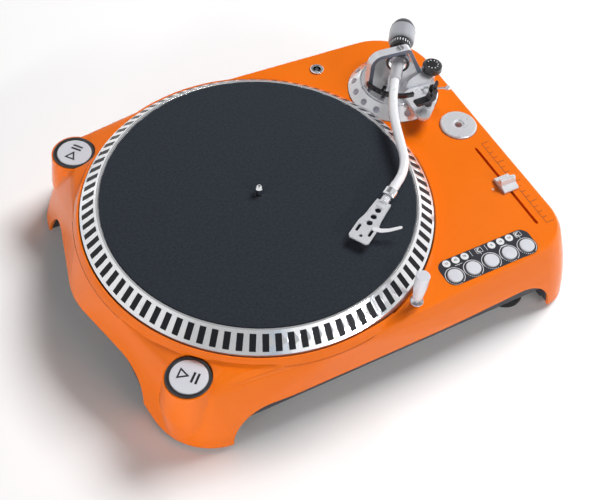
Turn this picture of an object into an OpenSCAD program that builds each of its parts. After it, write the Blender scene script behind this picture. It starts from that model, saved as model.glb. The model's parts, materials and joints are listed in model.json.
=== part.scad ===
// DJ turntable: a direct-drive deck with an S-shaped tonearm.
// Millimetres. X runs right, Y to the back, Z up. The origin is under the middle of the
// deck on the surface it stands on. Inside, places are measured from the platter's axis
// and the top of the slipmat, which is where a designer of such a deck starts.

/* [Housing] */
// Height of the slipmat's top above the surface
mat_height = 105; // [103:0.5:109]
// Depth of the deck below the slipmat's top
deck_drop = 22; // [21:0.5:23]
// Gap between the legs' ends and the surface
leg_gap = 5; // [3:0.5:8]
// Wall thickness of the moulded housing
wall = 3; // [2.5:0.1:3.4]
// From the platter's axis to the deck's right edge
deck_right = 258.5; // [256:0.5:266]
// From the platter's axis to the deck's front edge
deck_front = 158.5; // [157.5:0.5:162]
// From the platter's axis to the deck's rear edge
deck_rear = 165; // [162:0.5:168]
// From the platter's axis to the right wall at the legs
foot_right = 268; // [266:0.5:276]
// From the platter's axis to the front wall at the legs
foot_front = 177; // [175:0.5:182]
// From the platter's axis to the rear wall at the legs
foot_rear = 183; // [181:0.5:188]
// From the platter's axis to the left wall's widest place
belly_left = 186.5; // [185:0.5:190]
// How far the walls swell between the deck and the legs
wall_swell = 3; // [1.5:0.1:4]
// Height of the arches' tops above the legs' ends
arch_rise = 41; // [36:0.5:44]
// Width of the raised lip round the platter well
lip_w = 4; // [3:0.1:4.5]
// Height of the lip above the deck
lip_h = 2.4; // [1:0.1:3]

/* [Start bosses] */
// From the platter's axis to the start buttons, leftwards
boss_left = 131.8; // [130:0.1:134]
// Gap between the platter well and the front start button's bezel
boss_front_gap = 1.3; // [1:0.1:3]
// Gap between the platter well and the rear start button's bezel
boss_rear_gap = 5.6; // [4:0.1:7]
// Radius of a boss at its top
boss_r = 22; // [21.5:0.1:24]
// How far a boss widens on its way down to the leg
boss_flare = 5; // [4:0.5:7]
// Depth of the bosses' tops below the deck
boss_sink = 4; // [3:0.1:6]
// Outer radius of the start button's bezel
bezel_r = 19.6; // [19:0.1:20]
// Radius of the start button's cap
start_cap_r = 16.8; // [15:0.1:17.2]
// Travel of a start button
start_travel = 1.5; // [0.8:0.1:2]

/* [Bottom] */
// Thickness of the bottom cover
cover_t = 3; // [2:0.1:4]
// Height of the bottom cover's underside above the surface
cover_height = 23; // [20:0.5:25]
// Depth of the cover's walls behind the arches
cover_inset = 8; // [6:0.5:12]
// Radius of a rubber foot
foot_r = 19; // [15:0.5:20]

/* [Platter] */
// Width of the flat rim outside the slipmat
rim_w = 2.5; // [1.5:0.1:3.5]
// Width of the strobe bevel, seen from above
bevel_w = 16; // [15:0.1:17]
// Drop of the strobe bevel
bevel_drop = 14; // [11:0.1:15]
// Height of the platter's edge below the bevel
skirt_h = 10.5; // [8:0.1:11]
// Number of strobe marks
strobe_count = 90; // [60:1:100]
// Width of a strobe mark
strobe_w = 5; // [4:0.1:5.2]
// Length of a strobe mark along the bevel
strobe_l = 15; // [12:0.1:16]
// Depth of a strobe mark's pocket
strobe_depth = 0.7; // [0.5:0.1:1]
// Radius of the slipmat
mat_r = 147.5; // [145:0.1:147.6]
// Thickness of the slipmat
mat_t = 2; // [1:0.1:3]
// Radius of the spindle
spindle_r = 3.6; // [3.5:0.05:3.7]
// Height of the spindle above the slipmat
spindle_h = 10.5; // [8:0.5:14]
// Running gap between the platter and its well
well_gap = 2.5; // [2:0.1:3]

/* [Control panel] */
// Gap between the lip round the well and the panel's near corner
panel_gap = 1.3; // [0.5:0.1:3]
// Middle of the panel, forwards from the platter's axis
panel_y = 143; // [142:0.1:143.5]
// Length of the panel
panel_l = 100.6; // [99:0.1:104]
// Width of the panel
panel_w = 29; // [28.5:0.1:29.5]
// Spacing of the panel's buttons
key_pitch = 20.1; // [19.5:0.1:20.5]
// Radius of a panel button
key_r = 7.3; // [6.5:0.1:7.6]
// Height of a panel button above the panel
key_h = 1.6; // [1.4:0.1:2.5]
// Travel of a panel button
key_travel = 1; // [0.5:0.1:1.2]
// Radius of an indicator lens
lens_r = 3.9; // [3:0.1:4.2]

/* [Pitch fader] */
// From the platter's axis to the pitch slot, rightwards
fader_x = 232.7; // [231:0.1:234]
// From the platter's axis to the fader's middle, forwards
fader_y = 76.6; // [75:0.1:78]
// Length of the pitch slot
slot_l = 107.3; // [104:0.1:110]
// Width of the pitch slot
slot_w = 3; // [2.6:0.1:4]
// Length of the fader knob across the slot
fader_knob_w = 17; // [14:0.1:18]
// Depth of the fader knob along the slot
fader_knob_d = 20; // [14:0.1:21]
// Height of the fader knob's ridge above the deck
fader_knob_h = 10; // [8:0.1:13]

/* [Lamp, adaptor and socket] */
// From the platter's axis to the target lamp, rightwards
lamp_x = 80.6; // [78:0.1:84]
// Gap between the platter well and the lamp's socket
lamp_gap = 0.7; // [0.5:0.1:2]
// Radius of the lamp's body at its top
lamp_r = 6.3; // [5.5:0.1:6.6]
// Length of the lamp's body
lamp_l = 33; // [28:0.5:36]
// Travel of the pop-up lamp
lamp_travel = 3.5; // [2:0.5:4]
// From the platter's axis to the record adaptor, rightwards
adaptor_x = 233.7; // [233:0.1:235]
// From the platter's axis to the record adaptor, backwards
adaptor_y = 10.6; // [9:0.1:12]
// Radius of the record adaptor
adaptor_r = 19.1; // [19:0.05:19.3]
// Thickness of the record adaptor
adaptor_h = 8; // [6:0.1:9]
// From the platter's axis to the spare headshell socket, rightwards
socket_x = 139.9; // [139:0.1:141]
// From the platter's axis to the spare headshell socket, backwards
socket_y = 143.6; // [142:0.1:144.5]
// Radius of the socket's collar
socket_r = 7.3; // [6.6:0.1:7.6]

/* [Tonearm] */
// Gap between the platter's edge and the arm's height ring
ring_to_platter = 1.65; // [1.2:0.05:3]
// Bearing of the arm's pivot from the platter's axis, from rightwards to the back, in degrees
pivot_bearing = 22.7; // [22:0.1:23.5]
// Height of the arm tube's axis above the slipmat at the pivot
arm_z = 18.5; // [17.5:0.1:19.5]
// Tilt of the arm, headshell down, in degrees
arm_tilt = 2.4; // [1.5:0.1:3]
// Bearing of the arm's first stretch, from forwards to the left, in degrees
arm_bearing = 37; // [34:0.5:38]
// Outer radius of the arm's height ring
ring_r = 47.5; // [46:0.1:48.5]
// Radius of the platform that carries the arm
platform_r = 35; // [34:0.1:35.8]
// Height of the platform's top below the slipmat
platform_drop = 8; // [7.5:0.1:9]
// Rise of the height adjustment
height_travel = 6; // [3:0.5:6]
// Number of finger dimples round the height ring
dimple_count = 16; // [8:1:20]
// Radius of the arm tube
tube_r = 4.5; // [3.5:0.1:4.8]
// Bore of the arm tube
tube_bore = 3.6; // [2.5:0.1:3.8]
// Straight stretch of tube ahead of the hub
tube_first = 33; // [32:0.5:36]
// Radius of the tube's first bend
bend_one_r = 190; // [170:1:210]
// Angle of the tube's first bend, in degrees
bend_one = 18; // [16:0.5:20]
// Straight stretch between the bends
tube_middle = 28; // [22:0.5:32]
// Radius of the tube's second bend
bend_two_r = 56; // [48:1:62]
// Angle of the tube's second bend, in degrees
bend_two = 39; // [36:0.5:42]
// Straight stretch after the second bend
tube_last = 19.5; // [14:0.5:22]
// Radius of the hub that carries the tube
hub_r = 6.2; // [5.9:0.1:6.4]
// Radius of the gimbal ring
gimbal_r = 12; // [11.5:0.1:12.3]
// Height of the yoke's top above the slipmat
yoke_top = 36; // [35.5:0.1:38]
// Radius of the counterweight
weight_r = 13.5; // [12:0.1:14]
// Length of the counterweight
weight_l = 24; // [20:0.5:26]
// Travel of the counterweight along the arm
weight_travel = 8; // [4:0.5:10]
// Length of the headshell
shell_l = 51; // [48:0.5:54]
// Width of the headshell at its front
shell_w = 20.5; // [18:0.1:22]
// Thickness of the headshell
shell_t = 2; // [1.5:0.1:2.5]

/* [Hidden] */

$fn = 96;
orange = [0.98, 0.42, 0.05];
bright = [0.82, 0.83, 0.86];
black = [0.08, 0.08, 0.09];
grey = [0.3, 0.31, 0.33];
white = [0.93, 0.93, 0.96];

// Gap of a seat that isn't pressed, and the gap that a moving piece keeps
seat = 0.05;
clear = 0.3;
// Radial gap of a shaft in its bearing
running = 0.04;

// The housing's levels, from the platter axis and the slipmat's top
deck_z = -deck_drop;
leg_z = leg_gap - mat_height;
arch_z = leg_z + arch_rise;
cover_z = cover_height - mat_height;
floor_z = -mat_height;
// The body's middle, so that the origin lies under it
mid_x = (foot_right - belly_left) / 2;
mid_y = (foot_rear - foot_front) / 2;
// The platter is built outwards from the slipmat, and what stands round it keeps its gap to it
bevel_r = mat_r + rim_w;
platter_r = bevel_r + bevel_w;
well_r = platter_r + well_gap;
well_z = deck_z - 9;
lip_r = well_r + lip_w;
boss_z = deck_z - boss_sink;
// The other side of a right triangle with this longest side
function side(longest, other) = sqrt(longest * longest - other * other);
boss_front = side(well_r + bezel_r + boss_front_gap, boss_left);
boss_rear = side(well_r + bezel_r + boss_rear_gap, boss_left);
panel_x = panel_l / 2 + side(lip_r + panel_gap, panel_y - panel_w / 2);
pivot_d = platter_r + ring_r + ring_to_platter;
pivot_x = pivot_d * cos(pivot_bearing);
pivot_y = pivot_d * sin(pivot_bearing);
lamp_socket_r = lamp_r + 0.1;
lamp_y = side(well_r + lamp_socket_r + lamp_gap, lamp_x);
boss_foot_z = leg_z + 38;
platter_bottom = -bevel_drop - skirt_h;
fader_centre = [fader_x, -fader_y];

module on_platter() { translate([-mid_x, -mid_y, mat_height]) children(); }
module at_pivot() { translate([pivot_x, pivot_y, 0]) children(); }

// A corner post of the housing at fraction t of the way down from the deck:
// [x, y, radius] between its top and its foot, swelling between them
function post(top, foot, t) = let(s = t < 0.03 ? -2.6 + 80 * t : wall_swell * sin(180 * t))
  [top[0] + t * (foot[0] - top[0]), top[1] + t * (foot[1] - top[1]),
   top[2] + t * (foot[2] - top[2]) + s];
function post_z(top_z, t) = top_z + t * (leg_z - 1 - top_z);

corner_r = 33;
boss_in = 19.5;
slice_t = 0.01;
// Each post: deck-level circle, foot-level circle, height of its top
POSTS = [
  [[deck_right - 40, -(deck_front - 40), 40], [foot_right - corner_r, -(foot_front - corner_r), corner_r], deck_z],
  [[deck_right - 60, deck_rear - 60, 60], [foot_right - corner_r, foot_rear - corner_r, corner_r], deck_z],
  [[-76, -(deck_front - 40), 40], [-76, -(foot_front - 40), 40], deck_z],
  [[boss_in - boss_left, -(deck_front - boss_r), boss_r], [-103, -(foot_front - 60), 60], boss_z - 2],
  [[boss_in - boss_left, boss_rear, boss_r], [-112, foot_rear - 64, 64], boss_z - 2]
];

// The housing's outer form, drawn in by d on every side
module body_form(d) {
  hull() {
    for (p = POSTS, t = [0, 0.02, 0.08, 0.2, 0.35, 0.55, 0.8, 1])
      let(c = post(p[0], p[1], t))
        translate([c[0], c[1], post_z(p[2], t) - (t < 0.2 ? d : 0)]) cylinder(r = c[2] - d, h = slice_t, $fn = 64);
    translate([0, 0, deck_z - d]) cylinder(r = lip_r - 1.6 - d, h = slice_t, $fn = 96);
    translate([0, 0, deck_z - 2 - d]) cylinder(r = lip_r + 0.4 - d, h = slice_t, $fn = 96);
    translate([70 - belly_left, 5, arch_z + 0.4]) cylinder(r = 70 - d, h = slice_t, $fn = 64);
  }
}

// One start boss, flaring down to the leg that it runs into, drawn in by d
module boss_form(y, d) {
  translate([-boss_left, y, -d]) rotate_extrude()
    polygon([[0, leg_z - 2], [boss_r + boss_flare - 1.5 - d, leg_z - 2], [boss_r + boss_flare - d, boss_foot_z],
      [boss_r - d, boss_z], [0, boss_z]]);
}

// An arch cut between from and to, along a wall
module arch_profile(from, to, r) {
  translate([from, leg_z - 20]) square([to - from, 20]);
  translate([from + r, leg_z]) circle(r = r);
  translate([to - r, leg_z]) circle(r = r);
  translate([from + r, leg_z - 1]) square([to - from - 2 * r, r + 1]);
}

front_arch = [-109, foot_right - corner_r - 0.4];
side_arch = [-108, 119.5];
module front_arch_cut(from_y, to_y, r) {
  translate([0, to_y, 0]) rotate([90, 0, 0]) linear_extrude(to_y - from_y)
    arch_profile(front_arch[0], front_arch[1], r);
}
module side_arch_cut(from_x, to_x, r) {
  translate([from_x, 0, 0]) rotate([90, 0, 90]) linear_extrude(to_x - from_x)
    arch_profile(side_arch[0], side_arch[1], r);
}

module rounded_bar(l, w, r) {
  for (x = [r - l / 2, l / 2 - r], y = [r - w / 2, w / 2 - r]) translate([x, y]) circle(r = r);
  square([l - 2 * r, w], center = true);
  square([l, w - 2 * r], center = true);
}

panel_corner = 9;
panel_t = 2;
panel_proud = 0.4;
panel_ledge = 1.8;
key_row_y = -(panel_y + 4.9);
lens_row_y = -(panel_y - 10.1);
lens_steps = [-4, -3, -2, 1, 2, 3];
LENSES = [for (s = lens_steps) [panel_x + s * key_pitch / 2, lens_row_y]];
pitch_lens = [fader_x - 14.9, -fader_y + 0.3];
pitch_lens_r = 1.2;

// Where the screws under the cover reach up into the housing
SCREWS = [[-95, -95], [-95, 95], [95, -110], [95, 110], [200, -95], [165, 146]];
screw_r = 1.5;
screw_post_r = 4.5;
function screw_top(p) = norm(p) < well_r ? well_z - wall : deck_z - wall;

adaptor_sink = 5.5;
socket_depth = 18;
ring_gap = 0.5;
ring_hole_r = ring_r + ring_gap;
soft_lip_r = ring_r + 5;

module top_housing() {
  color(orange) on_platter() difference() {
    union() {
      difference() {
        union() {
          body_form(0);
          boss_form(-boss_front, 0);
          boss_form(boss_rear, 0);
          at_pivot() translate([0, 0, deck_z - 2])
            rotate_extrude() polygon([[0, 0], [soft_lip_r + 3, 0], [soft_lip_r + 3, 2], [soft_lip_r, 3.2],
              [ring_hole_r + 1, 3.2], [0, 3.2]]);
        }
        difference() {
          union() {
            body_form(wall);
            boss_form(-boss_front, wall);
            boss_form(boss_rear, wall);
          }
          translate([0, 0, well_z - wall]) cylinder(r = well_r + wall, h = 40);
        }
      }
      translate([0, 0, deck_z - 1]) rotate_extrude()
        polygon([[well_r, 0], [lip_r + 1, 0], [lip_r, 1], [lip_r - 1.2, 1 + lip_h],
          [well_r + 0.8, 1 + lip_h], [well_r, 0.6 + lip_h]]);
      for (p = SCREWS) translate([p[0], p[1], cover_z + cover_t])
        cylinder(r = screw_post_r, h = screw_top(p) + 0.5 - cover_z - cover_t);
      translate([socket_x, socket_y, deck_z - socket_depth - wall]) cylinder(r = socket_r + 2, h = socket_depth + 1);
      translate([adaptor_x, adaptor_y, deck_z - adaptor_sink - wall]) cylinder(r = adaptor_r + 2.5, h = 6);
      translate([lamp_x, -lamp_y, deck_z - 12]) cylinder(r = 7.6, h = 12.1);
      translate([fader_x, -fader_y, deck_z - wall - 1]) linear_extrude(1.5)
        rounded_bar(22, slot_l + 20, 3);
    }
    translate([0, 0, well_z]) cylinder(r = well_r, h = 60);
    translate([0, 0, -80]) cylinder(r = bearing_flange_r - 6, h = 60);
    front_arch_cut(-foot_front - 20, foot_rear + 20, arch_rise);
    side_arch_cut(-belly_left - 20, foot_right + 20, arch_rise);
    translate([-300, -300, leg_z - 30]) cube([700, 600, 30]);
    for (y = [-boss_front, boss_rear]) translate([-boss_left, y, boss_z]) {
      translate([0, 0, -12]) cylinder(r = bezel_r + 0.1, h = 20);
      cylinder(r = bezel_r + bezel_flange + seat, h = 20);
    }
    translate([panel_x, -panel_y, deck_z + panel_proud - panel_t]) linear_extrude(10)
      rounded_bar(panel_l + 2 * seat, panel_w + 2 * seat, panel_corner);
    translate([panel_x, -panel_y, deck_z - 10]) linear_extrude(12)
      rounded_bar(panel_l - 2 * panel_ledge, panel_w - 2 * panel_ledge, panel_corner - panel_ledge);
    translate([pitch_lens[0], pitch_lens[1], deck_z - 5]) cylinder(r = pitch_lens_r + seat, h = 10);
    translate([fader_x, -fader_y, deck_z - 10]) linear_extrude(20) rounded_bar(slot_w, slot_l, slot_w / 2 - 0.05);
    translate([lamp_x, -lamp_y, deck_z - 14]) cylinder(r = lamp_socket_r + seat, h = 20);
    translate([adaptor_x, adaptor_y, deck_z - adaptor_sink]) cylinder(r = adaptor_r + 0.4, h = 10);
    translate([socket_x, socket_y, deck_z - socket_depth]) cylinder(r = socket_r - 1.2, h = 30);
    at_pivot() translate([0, 0, deck_z - 10]) cylinder(r = ring_hole_r, h = 20);
    for (p = SCREWS) translate([p[0], p[1], cover_z]) cylinder(r = screw_r + 0.02, h = 14);
  }
}

// The cover's walls stand behind the arches, and its legs fill the housing's corners
module bottom_cover() {
  color(grey) on_platter() difference() {
    intersection() {
      body_form(wall + clear);
      translate([-300, -300, leg_z + 2]) cube([700, 600, arch_z + 12 - leg_z]);
    }
    front_arch_cut(-foot_front - 20, -foot_front + wall + cover_inset, arch_rise + 60);
    front_arch_cut(foot_rear - wall - cover_inset, foot_rear + 20, arch_rise + 60);
    side_arch_cut(foot_right - wall - cover_inset, foot_right + 40, arch_rise + 60);
    side_arch_cut(-belly_left - 20, -belly_left + 12 + wall + cover_inset, arch_rise + 60);
    translate([front_arch[0] - 4, -300, leg_z - 10]) cube([front_arch[1] - front_arch[0] + 2, 600, cover_z - leg_z + 10]);
    translate([-300, side_arch[0], leg_z - 10]) cube([700, side_arch[1] - side_arch[0], cover_z - leg_z + 10]);
    intersection() {
      body_form(wall + clear + cover_t);
      translate([-300, -300, cover_z + cover_t]) cube([700, 600, 60]);
      translate([cover_t - belly_left + 12 + wall + cover_inset, cover_t - foot_front + wall + cover_inset, -200])
        cube([foot_right + belly_left - 12 - 2 * (cover_t + wall + cover_inset),
          foot_rear + foot_front - 2 * (cover_t + wall + cover_inset), 300]);
    }
    for (p = SCREWS) translate([p[0], p[1], cover_z - 1]) cylinder(r = screw_r + 0.1, h = 10);
    for (p = FEET) translate([p[0], p[1], floor_z]) cylinder(r = foot_r + 0.4, h = cover_z - floor_z);
    rear_window();
  }
}

FEET = [[-126, -136], [foot_right - 63, -(foot_front - 34)], [-124, 136], [foot_right - 63, foot_rear - 34]];
module foot(i) {
  color(black) on_platter() translate([FEET[i][0], FEET[i][1], floor_z]) rotate_extrude()
    polygon([[0, 0], [foot_r - 3, 0], [foot_r - 1, 1.5], [foot_r, 4], [foot_r - 0.5, 9], [foot_r - 3, 11],
      [foot_r - 3, cover_z - floor_z], [0, cover_z - floor_z]]);
}

module cover_screws() {
  color(black) on_platter() for (p = SCREWS) translate([p[0], p[1], cover_z - 2]) {
    cylinder(r = 3, h = 2);
    cylinder(r = screw_r, h = 14);
  }
}

disc_t = 3.5;
// The spindle is thicker below the slipmat, where it runs in its bearing
shaft_low_r = spindle_r + 0.5;
hub_boss_r = 16;
magnet_r = [40, 57];
magnet_h = 9;
coil_ring_r = 48.5;
coil_r = 8.5;
coil_count = 12;
stator_t = 1.6;
bearing_r = 9;
bearing_flange_r = 28;
bearing_len = 34;
bevel_angle = atan2(bevel_drop, platter_r - bevel_r);
bevel_len = norm([platter_r - bevel_r, bevel_drop]);

// Places the children at each strobe mark, with X down the bevel and Z out of it
module strobe_places() {
  for (k = [0:strobe_count - 1]) rotate([0, 0, (k + 0.5) * 360 / strobe_count])
    translate([bevel_r, 0, 0]) rotate([0, bevel_angle, 0]) translate([(bevel_len - strobe_l) / 2, 0, 0]) children();
}

module platter() {
  color(bright) on_platter() difference() {
    union() {
      rotate_extrude($fn = 180) polygon([[shaft_low_r + 0.02, -mat_t], [mat_r + 0.4, -mat_t], [mat_r + 0.4, -0.4],
        [mat_r + 0.8, 0], [bevel_r, 0], [platter_r, -bevel_drop], [platter_r, platter_bottom],
        [platter_r - 5, platter_bottom], [platter_r - 5, -bevel_drop - 1], [bevel_r - 3, -mat_t - disc_t - 2],
        [bevel_r - 6, -mat_t - disc_t], [hub_boss_r, -mat_t - disc_t], [hub_boss_r, -20],
        [shaft_low_r + 0.02, -20]]);
      translate([0, 0, -mat_t - disc_t - 4]) difference() {
        cylinder(r = magnet_r[1] + 3.5, h = 4.5);
        translate([0, 0, -1]) cylinder(r = magnet_r[1] + seat, h = 7);
      }
    }
    strobe_places() translate([0, -strobe_w / 2, -strobe_depth]) cube([strobe_l, strobe_w, 5]);
  }
}

mark_t = 0.4;
module strobe_marks() {
  color(black) on_platter() strobe_places()
    translate([seat, seat - strobe_w / 2, -strobe_depth]) cube([strobe_l - 2 * seat, strobe_w - 2 * seat, mark_t]);
}

module rotor_magnet() {
  color(grey) on_platter() translate([0, 0, -mat_t - disc_t - magnet_h]) difference() {
    cylinder(r = magnet_r[1], h = magnet_h);
    translate([0, 0, -1]) cylinder(r = magnet_r[0], h = magnet_h + 2);
  }
}

module spindle() {
  color(bright) on_platter() rotate_extrude() polygon([[0, well_z - bearing_len + 5],
    [shaft_low_r - 0.6, well_z - bearing_len + 5], [shaft_low_r, well_z - bearing_len + 6], [shaft_low_r, -mat_t],
    [spindle_r - 0.25, -mat_t], [spindle_r - 0.25, 0.2], [spindle_r, 0.2], [spindle_r, spindle_h - 3],
    [spindle_r - 1.4, spindle_h - 0.6], [spindle_r - 2.6, spindle_h], [0, spindle_h]]);
}

module slipmat() {
  color([0.17, 0.19, 0.22]) on_platter() translate([0, 0, -mat_t]) difference() {
    cylinder(r = mat_r, h = mat_t, $fn = 180);
    translate([0, 0, -1]) cylinder(r = spindle_r + 0.25, h = mat_t + 2);
  }
}

module motor_stator() {
  stator_z = well_z;
  color([0.1, 0.35, 0.2]) on_platter() {
    translate([0, 0, stator_z]) difference() {
      cylinder(r = magnet_r[1] + 6, h = stator_t);
      translate([0, 0, -1]) cylinder(r = bearing_flange_r + 1, h = 5);
    }
    for (k = [0:coil_count - 1]) rotate([0, 0, k * 360 / coil_count])
      translate([coil_ring_r, 0, stator_z + stator_t - 0.2]) difference() {
        cylinder(r = coil_r, h = 8.2, $fn = 48);
        translate([0, 0, 1]) cylinder(r = 3, h = 9, $fn = 48);
      }
  }
}

module spindle_bearing() {
  color([0.72, 0.6, 0.35]) on_platter() difference() {
    union() {
      translate([0, 0, well_z - bearing_len]) cylinder(r = bearing_r, h = bearing_len + 2);
      translate([0, 0, well_z]) cylinder(r = bearing_flange_r, h = 2);
    }
    translate([0, 0, well_z - bearing_len + 4]) cylinder(r = shaft_low_r + running, h = bearing_len + 5);
  }
}

cap_dome = 0.8;
bezel_t = 1.4;
bezel_flange = 0.9;
module start_bezel(y) {
  color(black) on_platter() translate([-boss_left, y, boss_z - 12]) rotate_extrude()
    polygon([[start_cap_r + clear, 0], [bezel_r, 0], [bezel_r, 12], [bezel_r + bezel_flange, 12.05], [bezel_r + 0.6, 12 + bezel_t - 0.4],
      [bezel_r - 0.4, 12 + bezel_t], [start_cap_r + clear, 12 + bezel_t - 0.4]]);
}

module start_cap(y) {
  color(white) on_platter() translate([-boss_left, y, boss_z - 9]) rotate_extrude()
    polygon([[0, 0], [start_cap_r - 1, 0], [start_cap_r - 1, 4], [start_cap_r, 4], [start_cap_r, 9 + bezel_t - 1],
      [start_cap_r - 1, 9 + bezel_t - 0.3], [start_cap_r / 2, 9 + bezel_t + cap_dome / 2], [0, 9 + bezel_t + cap_dome / 2]]);
}

module control_panel() {
  color(grey) on_platter() difference() {
    translate([panel_x, -panel_y, deck_z + panel_proud - panel_t]) linear_extrude(panel_t)
      rounded_bar(panel_l, panel_w, panel_corner);
    for (k = [-2:2]) translate([panel_x + k * key_pitch, key_row_y, deck_z - 10]) cylinder(r = key_r + clear, h = 20);
    for (p = LENSES) translate([p[0], p[1], deck_z - 10]) cylinder(r = lens_r + seat, h = 20);
  }
}

module panel_key(i) {
  color(white) on_platter() translate([panel_x + (i - 3) * key_pitch, key_row_y, deck_z + panel_proud])
    rotate_extrude() polygon([[0, -4], [key_r, -4], [key_r, key_h - 0.5], [key_r - 0.5, key_h],
      [key_r * 0.5, key_h + 0.3], [0, key_h + 0.3]]);
}

module indicator_lenses() {
  color(white) on_platter() {
    for (p = LENSES) translate([p[0], p[1], deck_z + panel_proud - panel_t]) cylinder(r = lens_r, h = panel_t + 0.2);
    translate([pitch_lens[0], pitch_lens[1], deck_z - wall]) cylinder(r = pitch_lens_r, h = wall + 0.2);
  }
}

unit_w = 20;
unit_h = 14;
module fader_unit() {
  color(grey) on_platter() translate([fader_x, -fader_y, deck_z - wall - 1 - unit_h]) difference() {
    linear_extrude(unit_h) square([unit_w, slot_l + 18], center = true);
    translate([0, 0, 2]) linear_extrude(unit_h) square([slot_w + 4, slot_l - 1 + 2], center = true);
  }
}

fader_skirt = 3;
module fader_knob() {
  stem_w = slot_w - 2 * clear;
  color(bright) on_platter() translate([fader_x, -fader_y, deck_z]) {
    translate([0, 0, clear]) rotate([90, 0, 90]) translate([0, 0, -fader_knob_w / 2]) linear_extrude(fader_knob_w)
      polygon([[-fader_knob_d / 2, 0], [fader_knob_d / 2, 0], [fader_knob_d / 2, fader_skirt - 1],
        [fader_knob_d / 2 - 1, fader_skirt], [3.5, fader_skirt + 1.5], [2, fader_knob_h - 0.6], [1.4, fader_knob_h],
        [-1.4, fader_knob_h], [-2, fader_knob_h - 0.6], [-3.5, fader_skirt + 1.5],
        [1 - fader_knob_d / 2, fader_skirt], [-fader_knob_d / 2, fader_skirt - 1]]);
    translate([-stem_w / 2, -3, -wall - 8]) cube([stem_w, 6, wall + 9]);
  }
}

lamp_pin_r = 2;
lamp_foot = lamp_travel + 2.5;
module lamp_socket() {
  color(bright) on_platter() translate([lamp_x, -lamp_y, deck_z - 13.9]) rotate_extrude()
    polygon([[lamp_pin_r + running, 0], [lamp_socket_r, 0], [lamp_socket_r, 14.6], [lamp_socket_r - 0.5, 14.9],
      [lamp_r - 1.2, 14.9], [lamp_r - 1.4, 12.5], [lamp_pin_r + running, 12]]);
}

module target_lamp() {
  color(bright) on_platter() translate([lamp_x, -lamp_y, deck_z + 0.8]) {
    rotate_extrude() polygon([[0, -14], [lamp_pin_r, -14], [lamp_pin_r, lamp_foot - 0.5], [lamp_r - 1.7, lamp_foot],
      [lamp_r - 1.5, lamp_foot + 0.6], [lamp_r, lamp_foot + lamp_l * 0.55], [lamp_r, lamp_foot + lamp_l - 0.6],
      [lamp_r - 0.6, lamp_foot + lamp_l], [0, lamp_foot + lamp_l]]);
    translate([0, lamp_r - 1.2, lamp_foot + lamp_l - 4]) rotate([-90, 0, 0]) cylinder(r = 2, h = 2.4, $fn = 48);
  }
}

module record_adaptor() {
  color(bright) on_platter() translate([adaptor_x, adaptor_y, deck_z - adaptor_sink]) rotate_extrude()
    polygon([[spindle_r + 0.1, 0], [adaptor_r - 0.5, 0], [adaptor_r, 0.5], [adaptor_r, adaptor_h - 1.2],
      [adaptor_r - 1.2, adaptor_h], [spindle_r + 2.4, adaptor_h + 0.2], [spindle_r + 1.6, adaptor_h - 0.8],
      [spindle_r + 0.1, adaptor_h - 1]]);
}

module headshell_socket() {
  color(bright) on_platter() translate([socket_x, socket_y, deck_z - socket_depth]) rotate_extrude()
    polygon([[0, 0], [socket_r - 1.25, 0], [socket_r - 1.25, socket_depth], [socket_r, socket_depth],
      [socket_r, socket_depth + 1.4], [socket_r - 1, socket_depth + 2], [4.2, socket_depth + 1.6],
      [4.2, 2], [0, 2]]);
}

arm_base_z = deck_z - wall - 4;
guide_r = 24;
guide_len = 26;
platform_z = -platform_drop;

module at_arm_head() { at_pivot() translate([0, 0, arm_z]) rotate([0, 0, -90 - arm_bearing]) children(); }
module at_arm() { at_arm_head() rotate([0, arm_tilt, 0]) children(); }

module arm_base() {
  color(grey) on_platter() at_pivot() difference() {
    union() {
      translate([0, 0, arm_base_z]) cylinder(r = ring_hole_r + 6, h = 4);
      translate([0, 0, arm_base_z - guide_len + 6]) cylinder(r = guide_r + 3, h = guide_len);
    }
    translate([0, 0, arm_base_z - 40]) cylinder(r = guide_r + running, h = 80);
    translate([-pivot_x, -pivot_y, arm_base_z - 1]) cylinder(r = well_r + wall + clear, h = 10);
  }
}

ring_top_z = platform_z - 1;
ring_slope = 45;
module height_ring() {
  slope = ring_r - platform_r - 1.5;
  foot_z = arm_base_z + 4 + seat;
  shelf_z = platform_z - platform_t - 3.5;
  color(bright) on_platter() at_pivot() difference() {
    rotate_extrude() polygon([[guide_r + 4, foot_z], [ring_r, foot_z], [ring_r, ring_top_z - slope],
      [platform_r + 1.5, ring_top_z], [platform_r + 0.4, ring_top_z], [platform_r + 0.4, shelf_z],
      [guide_r + 4, shelf_z]]);
    for (k = [0:dimple_count - 1]) rotate([0, 0, (k + 0.5) * 360 / dimple_count])
      translate([platform_r + 1.5 + slope * 0.52, 0, ring_top_z - slope * 0.48]) rotate([0, ring_slope, 0])
        translate([0, 0, 1]) sphere(r = 2.6, $fn = 32);
  }
}

platform_t = 5;
module arm_platform() {
  color(bright) on_platter() at_pivot() difference() {
    union() {
      translate([0, 0, platform_z - platform_t + 1]) cylinder(r = platform_r - 1, h = platform_t - 1);
      translate([0, 0, platform_z - platform_t + 1]) cylinder(r = platform_r, h = platform_t - 2);
      translate([0, 0, arm_base_z - guide_len + 8]) cylinder(r = guide_r, h = platform_z - arm_base_z + guide_len - 10);
      translate([0, 0, platform_z - 1]) cylinder(r = 7, h = arm_z - gimbal_r - platform_z - 1);
    }
    translate([0, 0, arm_base_z - 30]) cylinder(r = guide_r - 4, h = platform_z - platform_t - arm_base_z + 30);
    translate([0, 0, arm_z - gimbal_r - 5]) cylinder(r = pivot_pin_r + running, h = 20);
    rotate([0, 0, lifter_post_turn]) translate([lifter_r - 8, 0, platform_z - platform_t]) cylinder(r = lifter_pin_r + running, h = 10);
  }
}

pivot_pin_r = 1.2;
yoke_w = 9;
yoke_t = 5;
yoke_turn = -6;
yoke_left = -(platform_r - 1.8);
yoke_right = 30.4;
shoulder_r = 13;
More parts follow.
